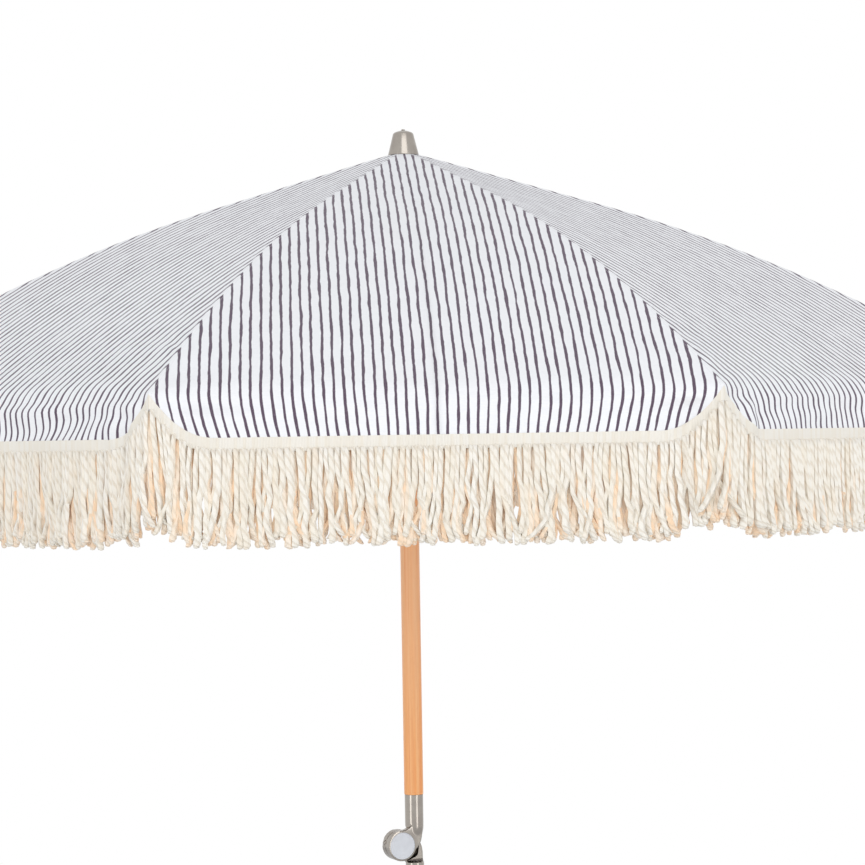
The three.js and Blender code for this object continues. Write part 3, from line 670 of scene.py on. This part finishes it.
# ---- Crown ----
# The rib hub, moulded in cream plastic and screwed to the top of the pole. Each rib's eye turns on a
# pin across its slot.
rib_count = 8
panel_turn = 2 * pi / rib_count
hub_low, hub_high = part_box("crown")
hub_radius = hub_high.x
pin_circle = hub_radius - 0.008
slot_width = 0.0048
slot_bottom = pin_circle - 0.0053
hub_pin_radius = 0.0014
joint = {j["name"]: j for j in frame["joints"]}
crown_pivot = joint["rib_1_fold"]["pos_m"][2]

cream_plastic = finish("cream_plastic", {})
moulding = cream_plastic.noise((1400, 1400, 1400), detail=2)
tint = cream_plastic.noise((45, 45, 45), detail=3)
cream = cream_plastic.mix(tint.rise(0.3, 0.7), colour(226, 221, 209), colour(236, 232, 222))
cream_plastic.surface(cream, 0.4 + moulding * 0.15, moulding, 0.2)


def rib_slots(low, high):
    """Cutters for the eight rib slots of a hub."""
    bm = bmesh.new()
    beyond = hub_radius + 0.002
    middle = Matrix.Translation(((slot_bottom + beyond) / 2, 0, (low + high) / 2))
    size = Matrix.Diagonal((beyond - slot_bottom, slot_width, high - low, 1))
    for k in range(rib_count):
        bmesh.ops.create_cube(bm, size=1, matrix=Matrix.Rotation(k * panel_turn, 4, "Z") @ middle @ size)
    return bm


def hub_pins(level, reach):
    """The eight steel pins across the slots of a hub."""
    bm = bmesh.new()
    for k in range(rib_count):
        made = drum(bm, (pin_circle, 0, level), hub_pin_radius, reach, sides=16)
        bmesh.ops.rotate(bm, cent=(0, 0, 0), matrix=Matrix.Rotation(k * panel_turn, 3, "Z"), verts=made)
    return bm


crown = turned("crown_hub", cream_plastic, [
    (pole_radius + wood_gap, hub_low.z), (hub_radius - 0.004, hub_low.z), (hub_radius, hub_low.z + 0.004),
    (hub_radius, hub_high.z - 0.0105), (hub_radius - 0.003, hub_high.z - 0.0075), (0.026, hub_high.z - 0.0072),
    (0.025, hub_high.z), (pole_radius + wood_gap, hub_high.z), (pole_radius + wood_gap, hub_low.z),
], sides=96, ease=0.0008)
carved(crown, rib_slots(hub_low.z - 0.001, crown_pivot + 0.006))
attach(crown, "upper")
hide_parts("crown")
crown_pins = piece("crown_pins", hub_pins(crown_pivot, slot_width + 0.002), steel)
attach(crown_pins, "upper")


# ---- Runner ----
# The cream plastic slider that opens the canopy. The stretchers turn in the slots of its collar, and
# a flared grip under it is pushed up the pole by hand.
grip_low, grip_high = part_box("runner")
runner_bore = pole_radius + 0.0004
sleeve_radius = 0.022
runner_pivot = grip_high.z - 0.008
runner = turned("runner_slider", cream_plastic, [
    (runner_bore, grip_low.z), (sleeve_radius + 0.002, grip_low.z), (sleeve_radius + 0.002, grip_low.z + 0.005),
    (sleeve_radius + 0.0002, grip_low.z + 0.009), (sleeve_radius - 0.0008, grip_low.z + 0.034),
    (sleeve_radius, runner_pivot - 0.014), (hub_radius - 0.004, runner_pivot - 0.009),
    (hub_radius, runner_pivot - 0.007), (hub_radius, runner_pivot + 0.006), (hub_radius - 0.002, grip_high.z),
    (runner_bore, grip_high.z), (runner_bore, grip_low.z),
], sides=96, ease=0.0008)
carved(runner, rib_slots(runner_pivot - 0.01, grip_high.z + 0.001))
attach(runner, "runner")
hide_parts("runner")


# ---- Ribs ----
# Eight pultruded glass-fibre rods that spring the canopy open. Each has a flat eye at the crown and a
# round cap in the canopy's corner.
rod_radius = 0.0025
rib_eye_radius = 0.0048
bar_half = 0.0019
straight_end = 0.3
canopy_radius = canopy_high.x
finial_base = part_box("finial")[0].z
cloth_top = finial_base - 0.0003
collar_radius = 0.027
bend_start = 0.33
crown_slope = radians(17.3)
tip_slope = radians(32.8)


def cloth_line(radius):
    """Height and slope of the cloth above a rib, at a radius from the pole."""
    fall = max(min(radius, bend_start) - collar_radius, 0) * tan(crown_slope)
    if radius <= bend_start:
        return cloth_top - fall, crown_slope if radius > collar_radius else 0
    bend = (canopy_radius - bend_start) / (sin(tip_slope) - sin(crown_slope))
    slope = asin(min(sin(crown_slope) + (radius - bend_start) / bend, 0.99))
    return cloth_top - fall - bend * (cos(crown_slope) - cos(slope)), slope


def rib_line(radius):
    """Height of a rib's centre line at a radius from the pole."""
    def below(r):
        level, slope = cloth_line(r)
        return level - 0.007 / cos(slope)
    if radius >= straight_end:
        return below(radius)
    share = (radius - pin_circle) / (straight_end - pin_circle)
    return crown_pivot + (below(straight_end) - crown_pivot) * share


def bar(bm, start, end, radius, half, middle=0):
    """Adds a flat bar with round ends between two points of the XZ plane, with its middle at y = middle."""
    along = Vector((end[0] - start[0], 0, end[1] - start[1]))
    lean = Matrix.Rotation(-atan2(along.z, along.x), 4, "Y")
    place = Matrix.Translation((start[0], 0, start[1])) @ lean
    ring = []
    for centre, first in ((along.length, -90), (0, 90)):
        for step in range(13):
            angle = radians(first + step * 15)
            point = Vector((centre + radius * cos(angle), 0, radius * sin(angle)))
            ring.append((place @ point).xz)
    slab(bm, ring, middle - half, 2 * half)


def tube_along(bm, points, radius, sides=12):
    """Adds a closed rod along points of the XZ plane."""
    start = points[0]
    ring = bmesh.ops.create_circle(
        bm, cap_ends=True, segments=sides, radius=radius,
        matrix=Matrix.Translation((start[0], 0, start[1])) @ Matrix.Rotation(pi / 2, 4, "Y"),
    )["verts"]
    face = next(f for f in ring[0].link_faces if len(f.verts) == sides)
    for before, after in zip(points, points[1:]):
        pushed = bmesh.ops.extrude_face_region(bm, geom=[face])
        face = next(f for f in pushed["geom"] if isinstance(f, bmesh.types.BMFace))
        bmesh.ops.translate(bm, verts=face.verts, vec=(after[0] - before[0], 0, after[1] - before[1]))
    bmesh.ops.recalc_face_normals(bm, faces=bm.faces)


def eight(name, bm, material):
    """Eight copies of a piece drawn at the first rib, each turned to its own rib."""
    made = []
    for k in range(rib_count):
        copy = bm.copy()
        bmesh.ops.rotate(copy, cent=(0, 0, 0), matrix=Matrix.Rotation(k * panel_turn, 3, "Z"), verts=copy.verts)
        made.append(piece(f"{name}_{k + 1}", copy, material))
    bm.free()
    return made


glass_fibre = finish("glass_fibre", {"Coat Weight": 0.2})
strands = glass_fibre.noise((700, 700, 700), detail=3)
streaks = glass_fibre.noise((30, 30, 30), detail=2)
rod_colour = glass_fibre.mix(streaks.rise(0.3, 0.7), colour(232, 226, 212), colour(241, 237, 227))
rod_colour = glass_fibre.mix(strands.rise(0.5, 0.7) * 0.35, rod_colour, colour(208, 200, 182))
glass_fibre.surface(rod_colour, 0.3 + strands * 0.15)

rib_start = pin_circle + 0.0165
rib_end = canopy_radius - 0.012
rib_steps = 48
eye_bar_end = pin_circle + 0.022
bm = bmesh.new()
radii = [rib_start + (rib_end - rib_start) * i / rib_steps for i in range(rib_steps + 1)]
tube_along(bm, [(r, rib_line(r)) for r in radii], rod_radius)
bar(bm, (pin_circle, crown_pivot), (eye_bar_end, rib_line(eye_bar_end)), rib_eye_radius, bar_half)
end_cap = Matrix.Translation((rib_end, 0, rib_line(rib_end)))
bmesh.ops.create_uvsphere(bm, u_segments=24, v_segments=16, radius=0.0045, matrix=end_cap)
for k, rib in enumerate(eight("rib_rod", bm, glass_fibre), 1):
    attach(rib, f"rib_arm_{k}")
    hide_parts(f"rib_{k}")


# ---- Rib clips ----
# A moulded sleeve on each rib, with two ears under it that carry the stretcher's pin.
clip_radius = 0.455
clip_slope = atan((rib_line(clip_radius - 0.005) - rib_line(clip_radius + 0.005)) / 0.01)
clip_drop = 0.0105
clip_level = rib_line(clip_radius)
clip_pin = (clip_radius - clip_drop * sin(clip_slope), clip_level - clip_drop * cos(clip_slope))
bm = bmesh.new()
spun(bm, [
    (0.0031, -0.012), (0.0043, -0.012), (0.0046, -0.01), (0.0046, 0.01),
    (0.0043, 0.012), (0.0031, 0.012), (0.0031, -0.012),
], sides=32, ease=0.0002)
along_rib = (
    Matrix.Translation((clip_radius, 0, clip_level))
    @ Matrix.Rotation(clip_slope, 4, "Y")
    @ Matrix.Rotation(pi / 2, 4, "Y")
)
bm.transform(along_rib)
ear_root = (clip_radius + 0.001, clip_level - 0.0036)
for ear_middle in (-0.0034, 0.0034):
    bar(bm, clip_pin, ear_root, radius=0.0042, half=0.001, middle=ear_middle)
drum(bm, (clip_pin[0], 0, clip_pin[1]), 0.0015, 0.0092, sides=16)
for k, clip in enumerate(eight("rib_clip_moulding", bm, cream_plastic), 1):
    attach(clip, f"rib_arm_{k}")
    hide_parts(f"rib_clip_{k}")


# ---- Stretchers ----
# Flat nickel-plated bars from the runner to the ribs. Each has round ends, and turns on the pin of a
# rib clip at the top and on its own pin in the runner's slot at the bottom.
bm = bmesh.new()
bar(bm, (pin_circle, runner_pivot), clip_pin, 0.0044, bar_half)
drum(bm, (pin_circle, 0, runner_pivot), hub_pin_radius, slot_width + 0.0036, sides=16)
for k, stretcher in enumerate(eight("stretcher_bar", bm, satin_nickel), 1):
    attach(stretcher, f"stretcher_arm_{k}")
    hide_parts(f"stretcher_{k}")


# ---- Screws ----
# Small pan-head steel screws with a cross recess: one in each pole socket and one in the crown.
slit_size = (0.0034, 0.0007, 0.0018, 1)
slit_turn = 0.1


def screw(node, name, body, axis):
    """One screw with its head at the outer end of its node's box."""
    low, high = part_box(node)
    middle = (low + high) / 2
    outward = Vector((*axis, 0)).normalized()
    head_at = middle + outward * ((high - low).dot(Vector(map(abs, outward))) / 2)
    made = turned(name, steel, [
        (0, -0.011), (0.0012, -0.0095), (0.0017, -0.008), (0.0017, -0.0021),
        (0.0034, -0.002), (0.0034, -0.0012), (0.0024, -0.0002), (0, 0),
    ], sides=32, ease=0.0002)
    for turn in (0, pi / 2):
        slit = bmesh.new()
        place = Matrix.Rotation(turn + slit_turn, 4, "Z") @ Matrix.Diagonal(slit_size)
        bmesh.ops.create_cube(slit, size=1, matrix=place)
        carved(made, slit)
    facing = outward.to_track_quat("Z", "Y").to_matrix().to_4x4()
    made.data.transform(Matrix.Translation(head_at) @ facing)
    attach(made, body)
    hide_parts(node)


half_turn = panel_turn / 2
for node, body, axis in (
    ("tip_screw", "lower", (0, 1)),
    ("lower_screw", "lower", (0, 1)),
    ("upper_screw", "upper", (0, 1)),
    ("crown_screw", "upper", (cos(half_turn), sin(half_turn))),
):
    screw(node, f"{node}_pan_head", body, axis)


# ---- Finial ----
# A turned cone of satin nickel that caps the pole and clamps the cloth on the crown. The head of the
# long screw that holds it shows on top.
finial_low, finial_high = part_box("finial")
cone_top = finial_high.z - 0.0055
finial = turned("finial_cone", satin_nickel, [
    (0.0026, finial_low.z), (finial_high.x, finial_low.z), (0.017, cone_top), (0.0148, cone_top + 0.0021),
    (0.01, cone_top + 0.004), (0.005, finial_high.z), (0.0026, finial_high.z), (0.0026, finial_low.z),
], sides=96, ease=0.0007)
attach(finial, "upper")
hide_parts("finial")

finial_screw_low, finial_screw_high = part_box("finial_screw")
finial_screw = turned("finial_screw_steel", satin_nickel, [
    (0, finial_screw_low.z), (0.0021, finial_screw_low.z + 0.003),
    (0.0021, finial_high.z + 0.0003), (0.0031, finial_high.z + 0.0003),
    (0.003, finial_screw_high.z - 0.0006), (0.0018, finial_screw_high.z), (0, finial_screw_high.z),
], sides=40, ease=0.0002)
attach(finial_screw, "upper")
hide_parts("finial_screw")


# ---- Canopy ----
# White canvas with hand-printed plum stripes, sewn from eight panels with a flat seam over each rib and
# a soft valance that rises to every tip. It is drawn as eight gores, one on each rib, that meet along
# the middles of the panels.
edge_reach = canopy_radius * cos(half_turn)
half_edge = canopy_radius * sin(half_turn)
tip_level = cloth_line(canopy_radius)[0]
valance_depth = tip_level - hem_level
tip_depth = 0.004
scallop_width = 0.088
cloth_half = 0.0004
gore_keep = 0.2
cloth_hole = 0.0172
roof_rows, fold_rows, valance_rows = 72, 12, 20
cloth_rows = roof_rows + fold_rows + valance_rows
cloth_columns = 116
fold_size = 0.034
sag, slack_height, pucker_height, gather_height = 0.0045, 0.0022, 0.0011, 0.0042
ripple_height, wave_height, rib_wave_height, flute_height = 0.0085, 0.0075, 0.02, 0.0028
flute_pitch = 0.046
seam_height = 0.0007


def depth_at(across):
    """Depth of the valance under the tips. across runs from -1 at one rib to 1 at the next."""
    from_rib = (1 - abs(across)) * half_edge
    near = max(1 - from_rib / scallop_width, 0)
    return valance_depth + (tip_depth - valance_depth) * near ** 2.2


def cloth_section(across):
    """The cloth's smooth line from crown to hem in a panel: reach from the pole, height, tilt."""
    depth = depth_at(across)
    soft = min(fold_size, 0.5 * depth)
    edge_tilt = atan(tan(tip_slope) / cos(half_turn))
    fold_start = edge_reach - soft * cos(edge_tilt)
    line = []
    for row in range(roof_rows + 1):
        share = row / roof_rows
        reach = cloth_hole + (fold_start - cloth_hole) * share ** 1.1
        level, slope = cloth_line(reach / cos(half_turn))
        line.append((reach, level, atan(tan(slope) / cos(half_turn))))
    start = Vector((line[-1][0], line[-1][1]))
    corner = Vector((edge_reach, start.y - (edge_reach - start.x) * tan(edge_tilt)))
    end = Vector((edge_reach, corner.y - soft))
    for row in range(1, fold_rows + 1):
        t = row / fold_rows
        point = start * (1 - t) ** 2 + corner * 2 * t * (1 - t) + end * t * t
        line.append((point.x, point.y, edge_tilt + (pi / 2 - edge_tilt) * t))
    for row in range(1, valance_rows + 1):
        share = row / valance_rows
        line.append((edge_reach, end.y + (tip_level - depth - end.y) * share, pi / 2))
    return line


def ease(value, low, high):
    """0 below low, 1 above high and a smooth step between."""
    share = min(max((value - low) / (high - low), 0), 1)
    return share * share * (3 - 2 * share)


def unrest(x, y, z):
    """A smooth random height between about -1 and 1."""
    return noise.noise(Vector((x, y, z)))


def cloth_lift(panel, across, reach, level, w):
    """How far the cloth stands off its smooth line: sag, slack, puckers, gathers, ripples, waves, seam."""
    radius = reach / cos(half_turn)
    below = max(tip_level - level, 0)
    from_rib = max(reach * tan(half_turn) - abs(w), 0)
    side = 1 if w > 0 else -1
    tight = ease(radius, 0.05, 0.5)
    lift = -sag * (1 - across ** 2) * tight * (1 - ease(below, 0, 0.03))
    slack = unrest(w * 4.5, radius * 2.6, panel * 3.7)
    lift += slack_height * slack * (1 - across ** 4) * tight
    pucker = unrest(radius * 42, from_rib * 5, panel * 2.3 + side)
    near_seam = exp(-from_rib / 0.035) * ease(from_rib, 0.004, 0.012)
    lift += pucker_height * pucker * near_seam * ease(radius, 0.25, 0.6)
    gather = unrest(radius * 34 + from_rib * 12, from_rib * 7, panel * 5.9 + 4 * side)
    near_tip = exp(-from_rib / 0.06) * ease(radius, 0.76, 0.93) * (1 - ease(below, 0.02, 0.05))
    lift += gather_height * gather * near_tip * ease(from_rib, 0.003, 0.016)
    ripple = unrest(w * 10, below * 7, panel * 6.1)
    lift += ripple_height * ripple * ease(below, 0.0, valance_depth) * ease(from_rib, 0, 0.07)
    wave = unrest(w * 7, below * 30, panel * 8.3 + 40)
    wave *= wave_height + rib_wave_height * exp(-from_rib / 0.11)
    lift += wave * ease(below, 0.004, 0.024) * ease(from_rib, 0, 0.05)
    flute = sin(from_rib * 2 * pi / flute_pitch + panel) * (1 - ease(from_rib, 0.06, 0.12))
    lift += flute_height * flute * ease(below, 0.002, 0.045) * ease(from_rib, 0, 0.02)
    seam = seam_height * (1 - ease(from_rib, 0.0045, 0.0062)) * ease(radius, 0.03, 0.06)
    return lift + seam


def on_cloth(panel, across, reach, level, tilt, off=0.0):
    """A point of the cloth, and its distance from the panel's middle."""
    w = across * reach * tan(half_turn)
    lift = cloth_lift(panel, across, reach, level, w) + off
    turn = (panel + 0.5) * panel_turn
    out = reach + lift * sin(tilt)
    x = out * cos(turn) - w * sin(turn)
    y = out * sin(turn) + w * cos(turn)
    return Vector((x, y, level + lift * cos(tilt))), w


canvas = finish("striped_canvas", {"Sheen Weight": 0.25, "Sheen Roughness": 0.4})
stripe_pitch = 0.0138
thread = 0.0009
full_turn = 6.2832  # radians
laid_out = canvas.node("ShaderNodeUVMap", {"uv_map": "cloth"})
over_cloth, along_cloth, _ = canvas.parts(laid_out)
lane = (over_cloth / stripe_pitch + 0.5).floor()
drift = canvas.node("ShaderNodeCombineXYZ", None, {0: lane * 7.31, 1: along_cloth * 9})
waver = canvas.noise(drift, detail=4, roughness=0.62) - 0.5
breadth_at = canvas.node("ShaderNodeCombineXYZ", None, {0: lane * 3.17 + 90, 1: along_cloth * 22})
breadth = canvas.noise(breadth_at, detail=2) - 0.5
ragged = canvas.noise(laid_out, detail=2, scale=900) - 0.5
off_line = abs(over_cloth / stripe_pitch - lane + waver * 0.5)
half_stripe = 0.133 + breadth * 0.2 + ragged * 0.05
stripe = 1 - (off_line - half_stripe).rise(-0.025, 0.035)
warp, weft, _ = canvas.parts(canvas.at("cloth", (1 / thread, 1 / thread, 1)))
weave = (warp * full_turn).sine() * (weft * full_turn).sine()
slub = canvas.noise(canvas.at("cloth", (60, 900, 1)), detail=2)
dry_print = canvas.noise(canvas.at("cloth", (700, 260, 1)), detail=3).rise(0.5, 0.72)
ground = canvas.mix(slub.rise(0.3, 0.7), colour(239, 240, 243), colour(244, 244, 246))
ground = canvas.mix(weave.rise(-1, 1) * 0.25, ground, colour(236, 237, 243))
ink = canvas.mix(dry_print * 0.5, colour(86, 69, 86), colour(126, 108, 126))
off_seam, down_seam, _ = canvas.parts(canvas.node("ShaderNodeUVMap", {"uv_map": "seam"}))
stitch_row = 1 - (abs(off_seam - 0.0034) * 1000).rise(0.25, 0.45)
stitch = stitch_row * (down_seam * 1800).sine().rise(-0.5, -0.2)
dyed = canvas.mix(stripe, ground, ink)
dyed = canvas.mix(stitch * 0.6, dyed, colour(222, 221, 224))
relief = weave * 0.5 + slub * 0.6 + stitch * 3 - stripe * 0.2
canvas.surface(dyed, 0.86 - stripe * 0.12 + weave * 0.03, relief, 0.35, 0.00025)

valance_flare = 0.046  # the stripes spread by this share down the valance
panel_shift = 3  # metres between the panels on the print, so that no two have the same stripes
gores = []
for k in range(rib_count):
    bm = bmesh.new()
    cloth_map = bm.loops.layers.uv.new("cloth")
    seam_map = bm.loops.layers.uv.new("seam")
    verts = bmesh.ops.create_grid(bm, x_segments=cloth_columns, y_segments=cloth_rows, size=0.5)["verts"]
    columns = {}
    laid = {}
    for vert in verts:
        columns.setdefault(round((vert.co.x + 0.5) * cloth_columns), []).append(vert)
    for column, stack in columns.items():
        t = column / cloth_columns * 2 - 1
        from_seam = abs(t) ** 1.35
        panel, across = (k, from_seam - 1) if t >= 0 else ((k - 1) % rib_count, 1 - from_seam)
        section = cloth_section(across)
        stack.sort(key=lambda v: v.co.y)
        run = 0
        for row, vert in enumerate(stack):
            reach, level, tilt = section[row]
            if row:
                run += dist(section[row][:2], section[row - 1][:2])
            vert.co, w = on_cloth(panel, across, reach, level, tilt)
            below = max(tip_level - level, 0) / valance_depth
            u = w / (1 - valance_flare * min(below, 1.2) ** 1.5)
            laid[vert] = (panel, u, run + panel * panel_shift, from_seam * reach * tan(half_turn))
    for face in bm.faces:
        next_panel = any(laid[v][3] > 0 and laid[v][0] == k for v in face.verts)
        for loop in face.loops:
            panel, u, run, from_seam = laid[loop.vert]
            if not from_seam and not next_panel:
                u, run = -u, run + (((k - 1) % rib_count) - k) * panel_shift
            loop[cloth_map].uv = (u, run)
            loop[seam_map].uv = (from_seam, run)
    bmesh.ops.recalc_face_normals(bm, faces=bm.faces)
    if sum(f.normal.z for f in bm.faces) < 0:
        bmesh.ops.reverse_faces(bm, faces=bm.faces[:])
    gore = piece(f"canopy_cloth_{k + 1}", bm, canvas, crease=180)
    wall = gore.modifiers.new("cloth thickness", "SOLIDIFY")
    wall.thickness = 2 * cloth_half
    wall.offset = -1
    turn = k * panel_turn
    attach(gore, f"rib_arm_{k + 1}")
    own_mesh(gore)
    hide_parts(f"canopy_gore_{k + 1}")
    gores.append(gore)


# ---- Fringe ----
# A webbing tape sewn along the hem, with three rows of soft two-ply cotton cords looped into it. It is
# drawn in short lengths, which hang plumb and are carried by the runner.
tape_over = 0.003
tape_height = 0.019
tape_half = 0.0007
tape_lanes = 24
tape_numbers = -60
cord_radius = 0.004
fringe_length = 0.142
fringe_rise = 0.03
lengths_per_panel = 8
fringe_keep = 0.08
stroke = joint["runner_slide"]["range_m"][1]
fold = radians(joint["rib_1_fold"]["range_deg"][1])
twist_length = 0.0125
rear_numbers = 4000
cord_rng = random.Random(41)

# The emission here is painted light: it makes the rear cords glow a dim warm brown.
cotton = finish("cotton_fringe", {"Sheen Weight": 0.3, "Sheen Roughness": 0.5, "Emission Strength": 1})
round_cord, along_cord, _ = cotton.parts(cotton.node("ShaderNodeUVMap", {"uv_map": "cord"}))
which = round_cord.floor()
on_cord = which.rise(-0.6, -0.4)
rear = which.rise(rear_numbers, rear_numbers + 1)
ply = (((round_cord - which) * 2 + on_cord * along_cord / twist_length) * full_turn).sine()
plies = ply.rise(-1, -0.1)
lint = cotton.noise(cotton.at("cord", (9, 900, 1)), detail=3)
own = cotton.node("ShaderNodeTexWhiteNoise", {"noise_dimensions": "1D"}, {"W": which})
length_tint = cotton.noise(cotton.at("cord", (1, 22, 1)), detail=2)
yarn = cotton.mix(own, colour(243, 239, 231), colour(239, 232, 219))
yarn = cotton.mix(length_tint.rise(0.5, 0.8) * on_cord * 0.4, yarn, colour(244, 222, 194))
# Painted shade: the rear rows of cords are tinted warm tan in patches, the warm shade seen between the cords.
yarn = cotton.mix(rear * (0.2 + length_tint.rise(0.4, 0.62) * 0.6), yarn, colour(242, 206, 168))
# Painted shade: the grooves between the plies of each cord, and between the tape's threads, are mixed darker.
yarn = cotton.mix((1 - plies) * (0.1 + on_cord * 0.36), yarn, colour(214, 200, 178))
yarn = cotton.mix(lint.rise(0.4, 0.7) * 0.15, yarn, colour(232, 222, 206))
cotton.surface(yarn, 0.9, plies + lint * 0.35, 0.6, 0.0008)
# Painted light: the rear cords glow warm brown, standing in for light coming through and between the cords.
cotton.join(cotton.mix(rear, colour(0, 0, 0), colour(62, 46, 32)), cotton.shader["Emission Color"])


def outward_and_sideways(turn):
    """Two level directions at an angle round the pole: away from it, and across."""
    return Vector((cos(turn), sin(turn), 0)), Vector((-sin(turn), cos(turn), 0))


def hem_point(panel, across, drop=0.0, off=0.0):
    """A point straight below the hem."""
    point = on_cloth(panel, across, edge_reach, tip_level - depth_at(across), pi / 2, off)[0]
    return point - Vector((0, 0, drop))


def grid_to(bm, columns, rows, place, uv_layer, uv):
    """Adds a grid whose points go where place says, from x and y between 0 and 1."""
    verts = bmesh.ops.create_grid(bm, x_segments=columns, y_segments=rows, size=0.5)["verts"]
    spots = {v: (v.co.x + 0.5, v.co.y + 0.5) for v in verts}
    for face in {f for v in verts for f in v.link_faces}:
        for loop in face.loops:
            loop[uv_layer].uv = uv(*spots[loop.vert])
    for vert, (x, y) in spots.items():
        vert.co = place(x, y)


def add_cord(bm, layer, panel, across, number, behind):
    """Adds one twisted cord, with its own length, waver, lean and rounded end."""
    top = hem_point(panel, across, tape_height - tape_over - 0.005, 0.0004 - behind)
    rise = fringe_rise * (valance_depth - depth_at(across)) / (valance_depth - tip_depth)
    bottom = hem_level - fringe_length + rise
    length = top.z - bottom + cord_rng.uniform(-0.012, 0.005)
    radius = cord_radius * cord_rng.uniform(0.85, 1.2)
    out, side = outward_and_sideways((panel + 0.5) * panel_turn)
    phase = cord_rng.uniform(0, 9)
    curl = cord_rng.uniform(-1, 1) ** 3 * 0.032
    forward = cord_rng.uniform(-0.002, 0.006)
    spin_start = cord_rng.uniform(0, 0.02)
    clump = across * half_edge

    def place(x, y):
        share, swell = cord_rings[round(y * last_ring)]
        pull = unrest(clump * 26, share * 0.9, panel * 4.4 + behind * 900)
        own_way = unrest(phase * 11, share * 4.2, number * 0.37)
        aside = (0.014 * pull + 0.012 * own_way) * share ** 0.7 + curl * share ** 3
        forth = 0.006 * unrest(share * 2.6, phase * 7, number) * share + forward * share
        angle = x * 2 * pi
        across_cord = side * cos(angle) + out * sin(angle)
        return top + side * aside + out * forth - Vector((0, 0, share * length)) + across_cord * radius * swell

    grid_to(bm, 5, last_ring, place, layer, lambda x, y: (number + x * 0.999, y * length + spin_start))


# Each ring of a cord: its share of the length, and its size beside the cord's radius.
cord_rings = (
    (0, 0), (0.012, 1), (0.13, 1), (0.26, 1), (0.39, 1), (0.52, 1.03),
    (0.65, 1), (0.78, 1.04), (0.9, 1.12), (0.962, 1.22), (0.992, 0.85), (1, 0),
)
last_ring = len(cord_rings) - 1
# Each row of cords: how far behind the front it hangs, its pitch, and what its numbers start from.
cord_rows = ((0.0, 0.0071, 0), (0.0045, 0.0076, 4096), (0.0085, 0.009, 8192))
number = 0
hanging = [[] for _ in gores]
for panel in range(rib_count):
    for length in range(lengths_per_panel):
        start = 2 * length / lengths_per_panel - 1
        end = 2 * (length + 1) / lengths_per_panel - 1
        bm = bmesh.new()
        layer = bm.loops.layers.uv.new("cord")

        def tape(x, y):
            return hem_point(panel, start + (end - start) * x, (1 - y) * tape_height - tape_over, tape_half)

        grid_to(bm, 14, 4, tape, layer, lambda x, y: (x * tape_lanes + tape_numbers, y * tape_height))
        bmesh.ops.recalc_face_normals(bm, faces=bm.faces)
        bmesh.ops.solidify(bm, geom=bm.faces[:], thickness=2 * tape_half)
        for behind, pitch, first in cord_rows:
            cords = round((end - start) * half_edge / pitch)
            for c in range(cords):
                number += 1
                spot = start + (end - start) * (c + 0.5 + cord_rng.uniform(-0.25, 0.25)) / cords
                add_cord(bm, layer, panel, min(max(spot, -0.99), 0.99), number + first, behind)
        bmesh.ops.remove_doubles(bm, verts=bm.verts, dist=1e-5)
        bmesh.ops.recalc_face_normals(bm, faces=bm.faces)
        fringe = piece(f"fringe_{panel + 1}_{length + 1}", bm, cotton, crease=70)
        k = panel if length < lengths_per_panel / 2 else (panel + 1) % rib_count
        radial, tangent = outward_and_sideways(k * panel_turn)
        rest_at = hem_point(panel, (start + end) / 2)
        dx = rest_at.dot(radial) - pin_circle
        dz = rest_at.z - crown_pivot
        folded = radial * (pin_circle + dx * cos(fold) + dz * sin(fold))
        folded += tangent * rest_at.dot(tangent) * gore_keep
        folded.z = crown_pivot - dx * sin(fold) + dz * cos(fold)
        inward = folded - (rest_at - Vector((0, 0, stroke)))
        axis = inward.normalized()
        anchor = rest_at + axis * inward.length / (1 - fringe_keep)
        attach(fringe, "runner")
        tuple(axis)
        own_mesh(fringe)
        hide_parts(f"fringe_{k + 1}")
        hanging[k].append(fringe)

for k, gore in enumerate(gores):
    rod = [f"rib_rod_{k + 1}"]
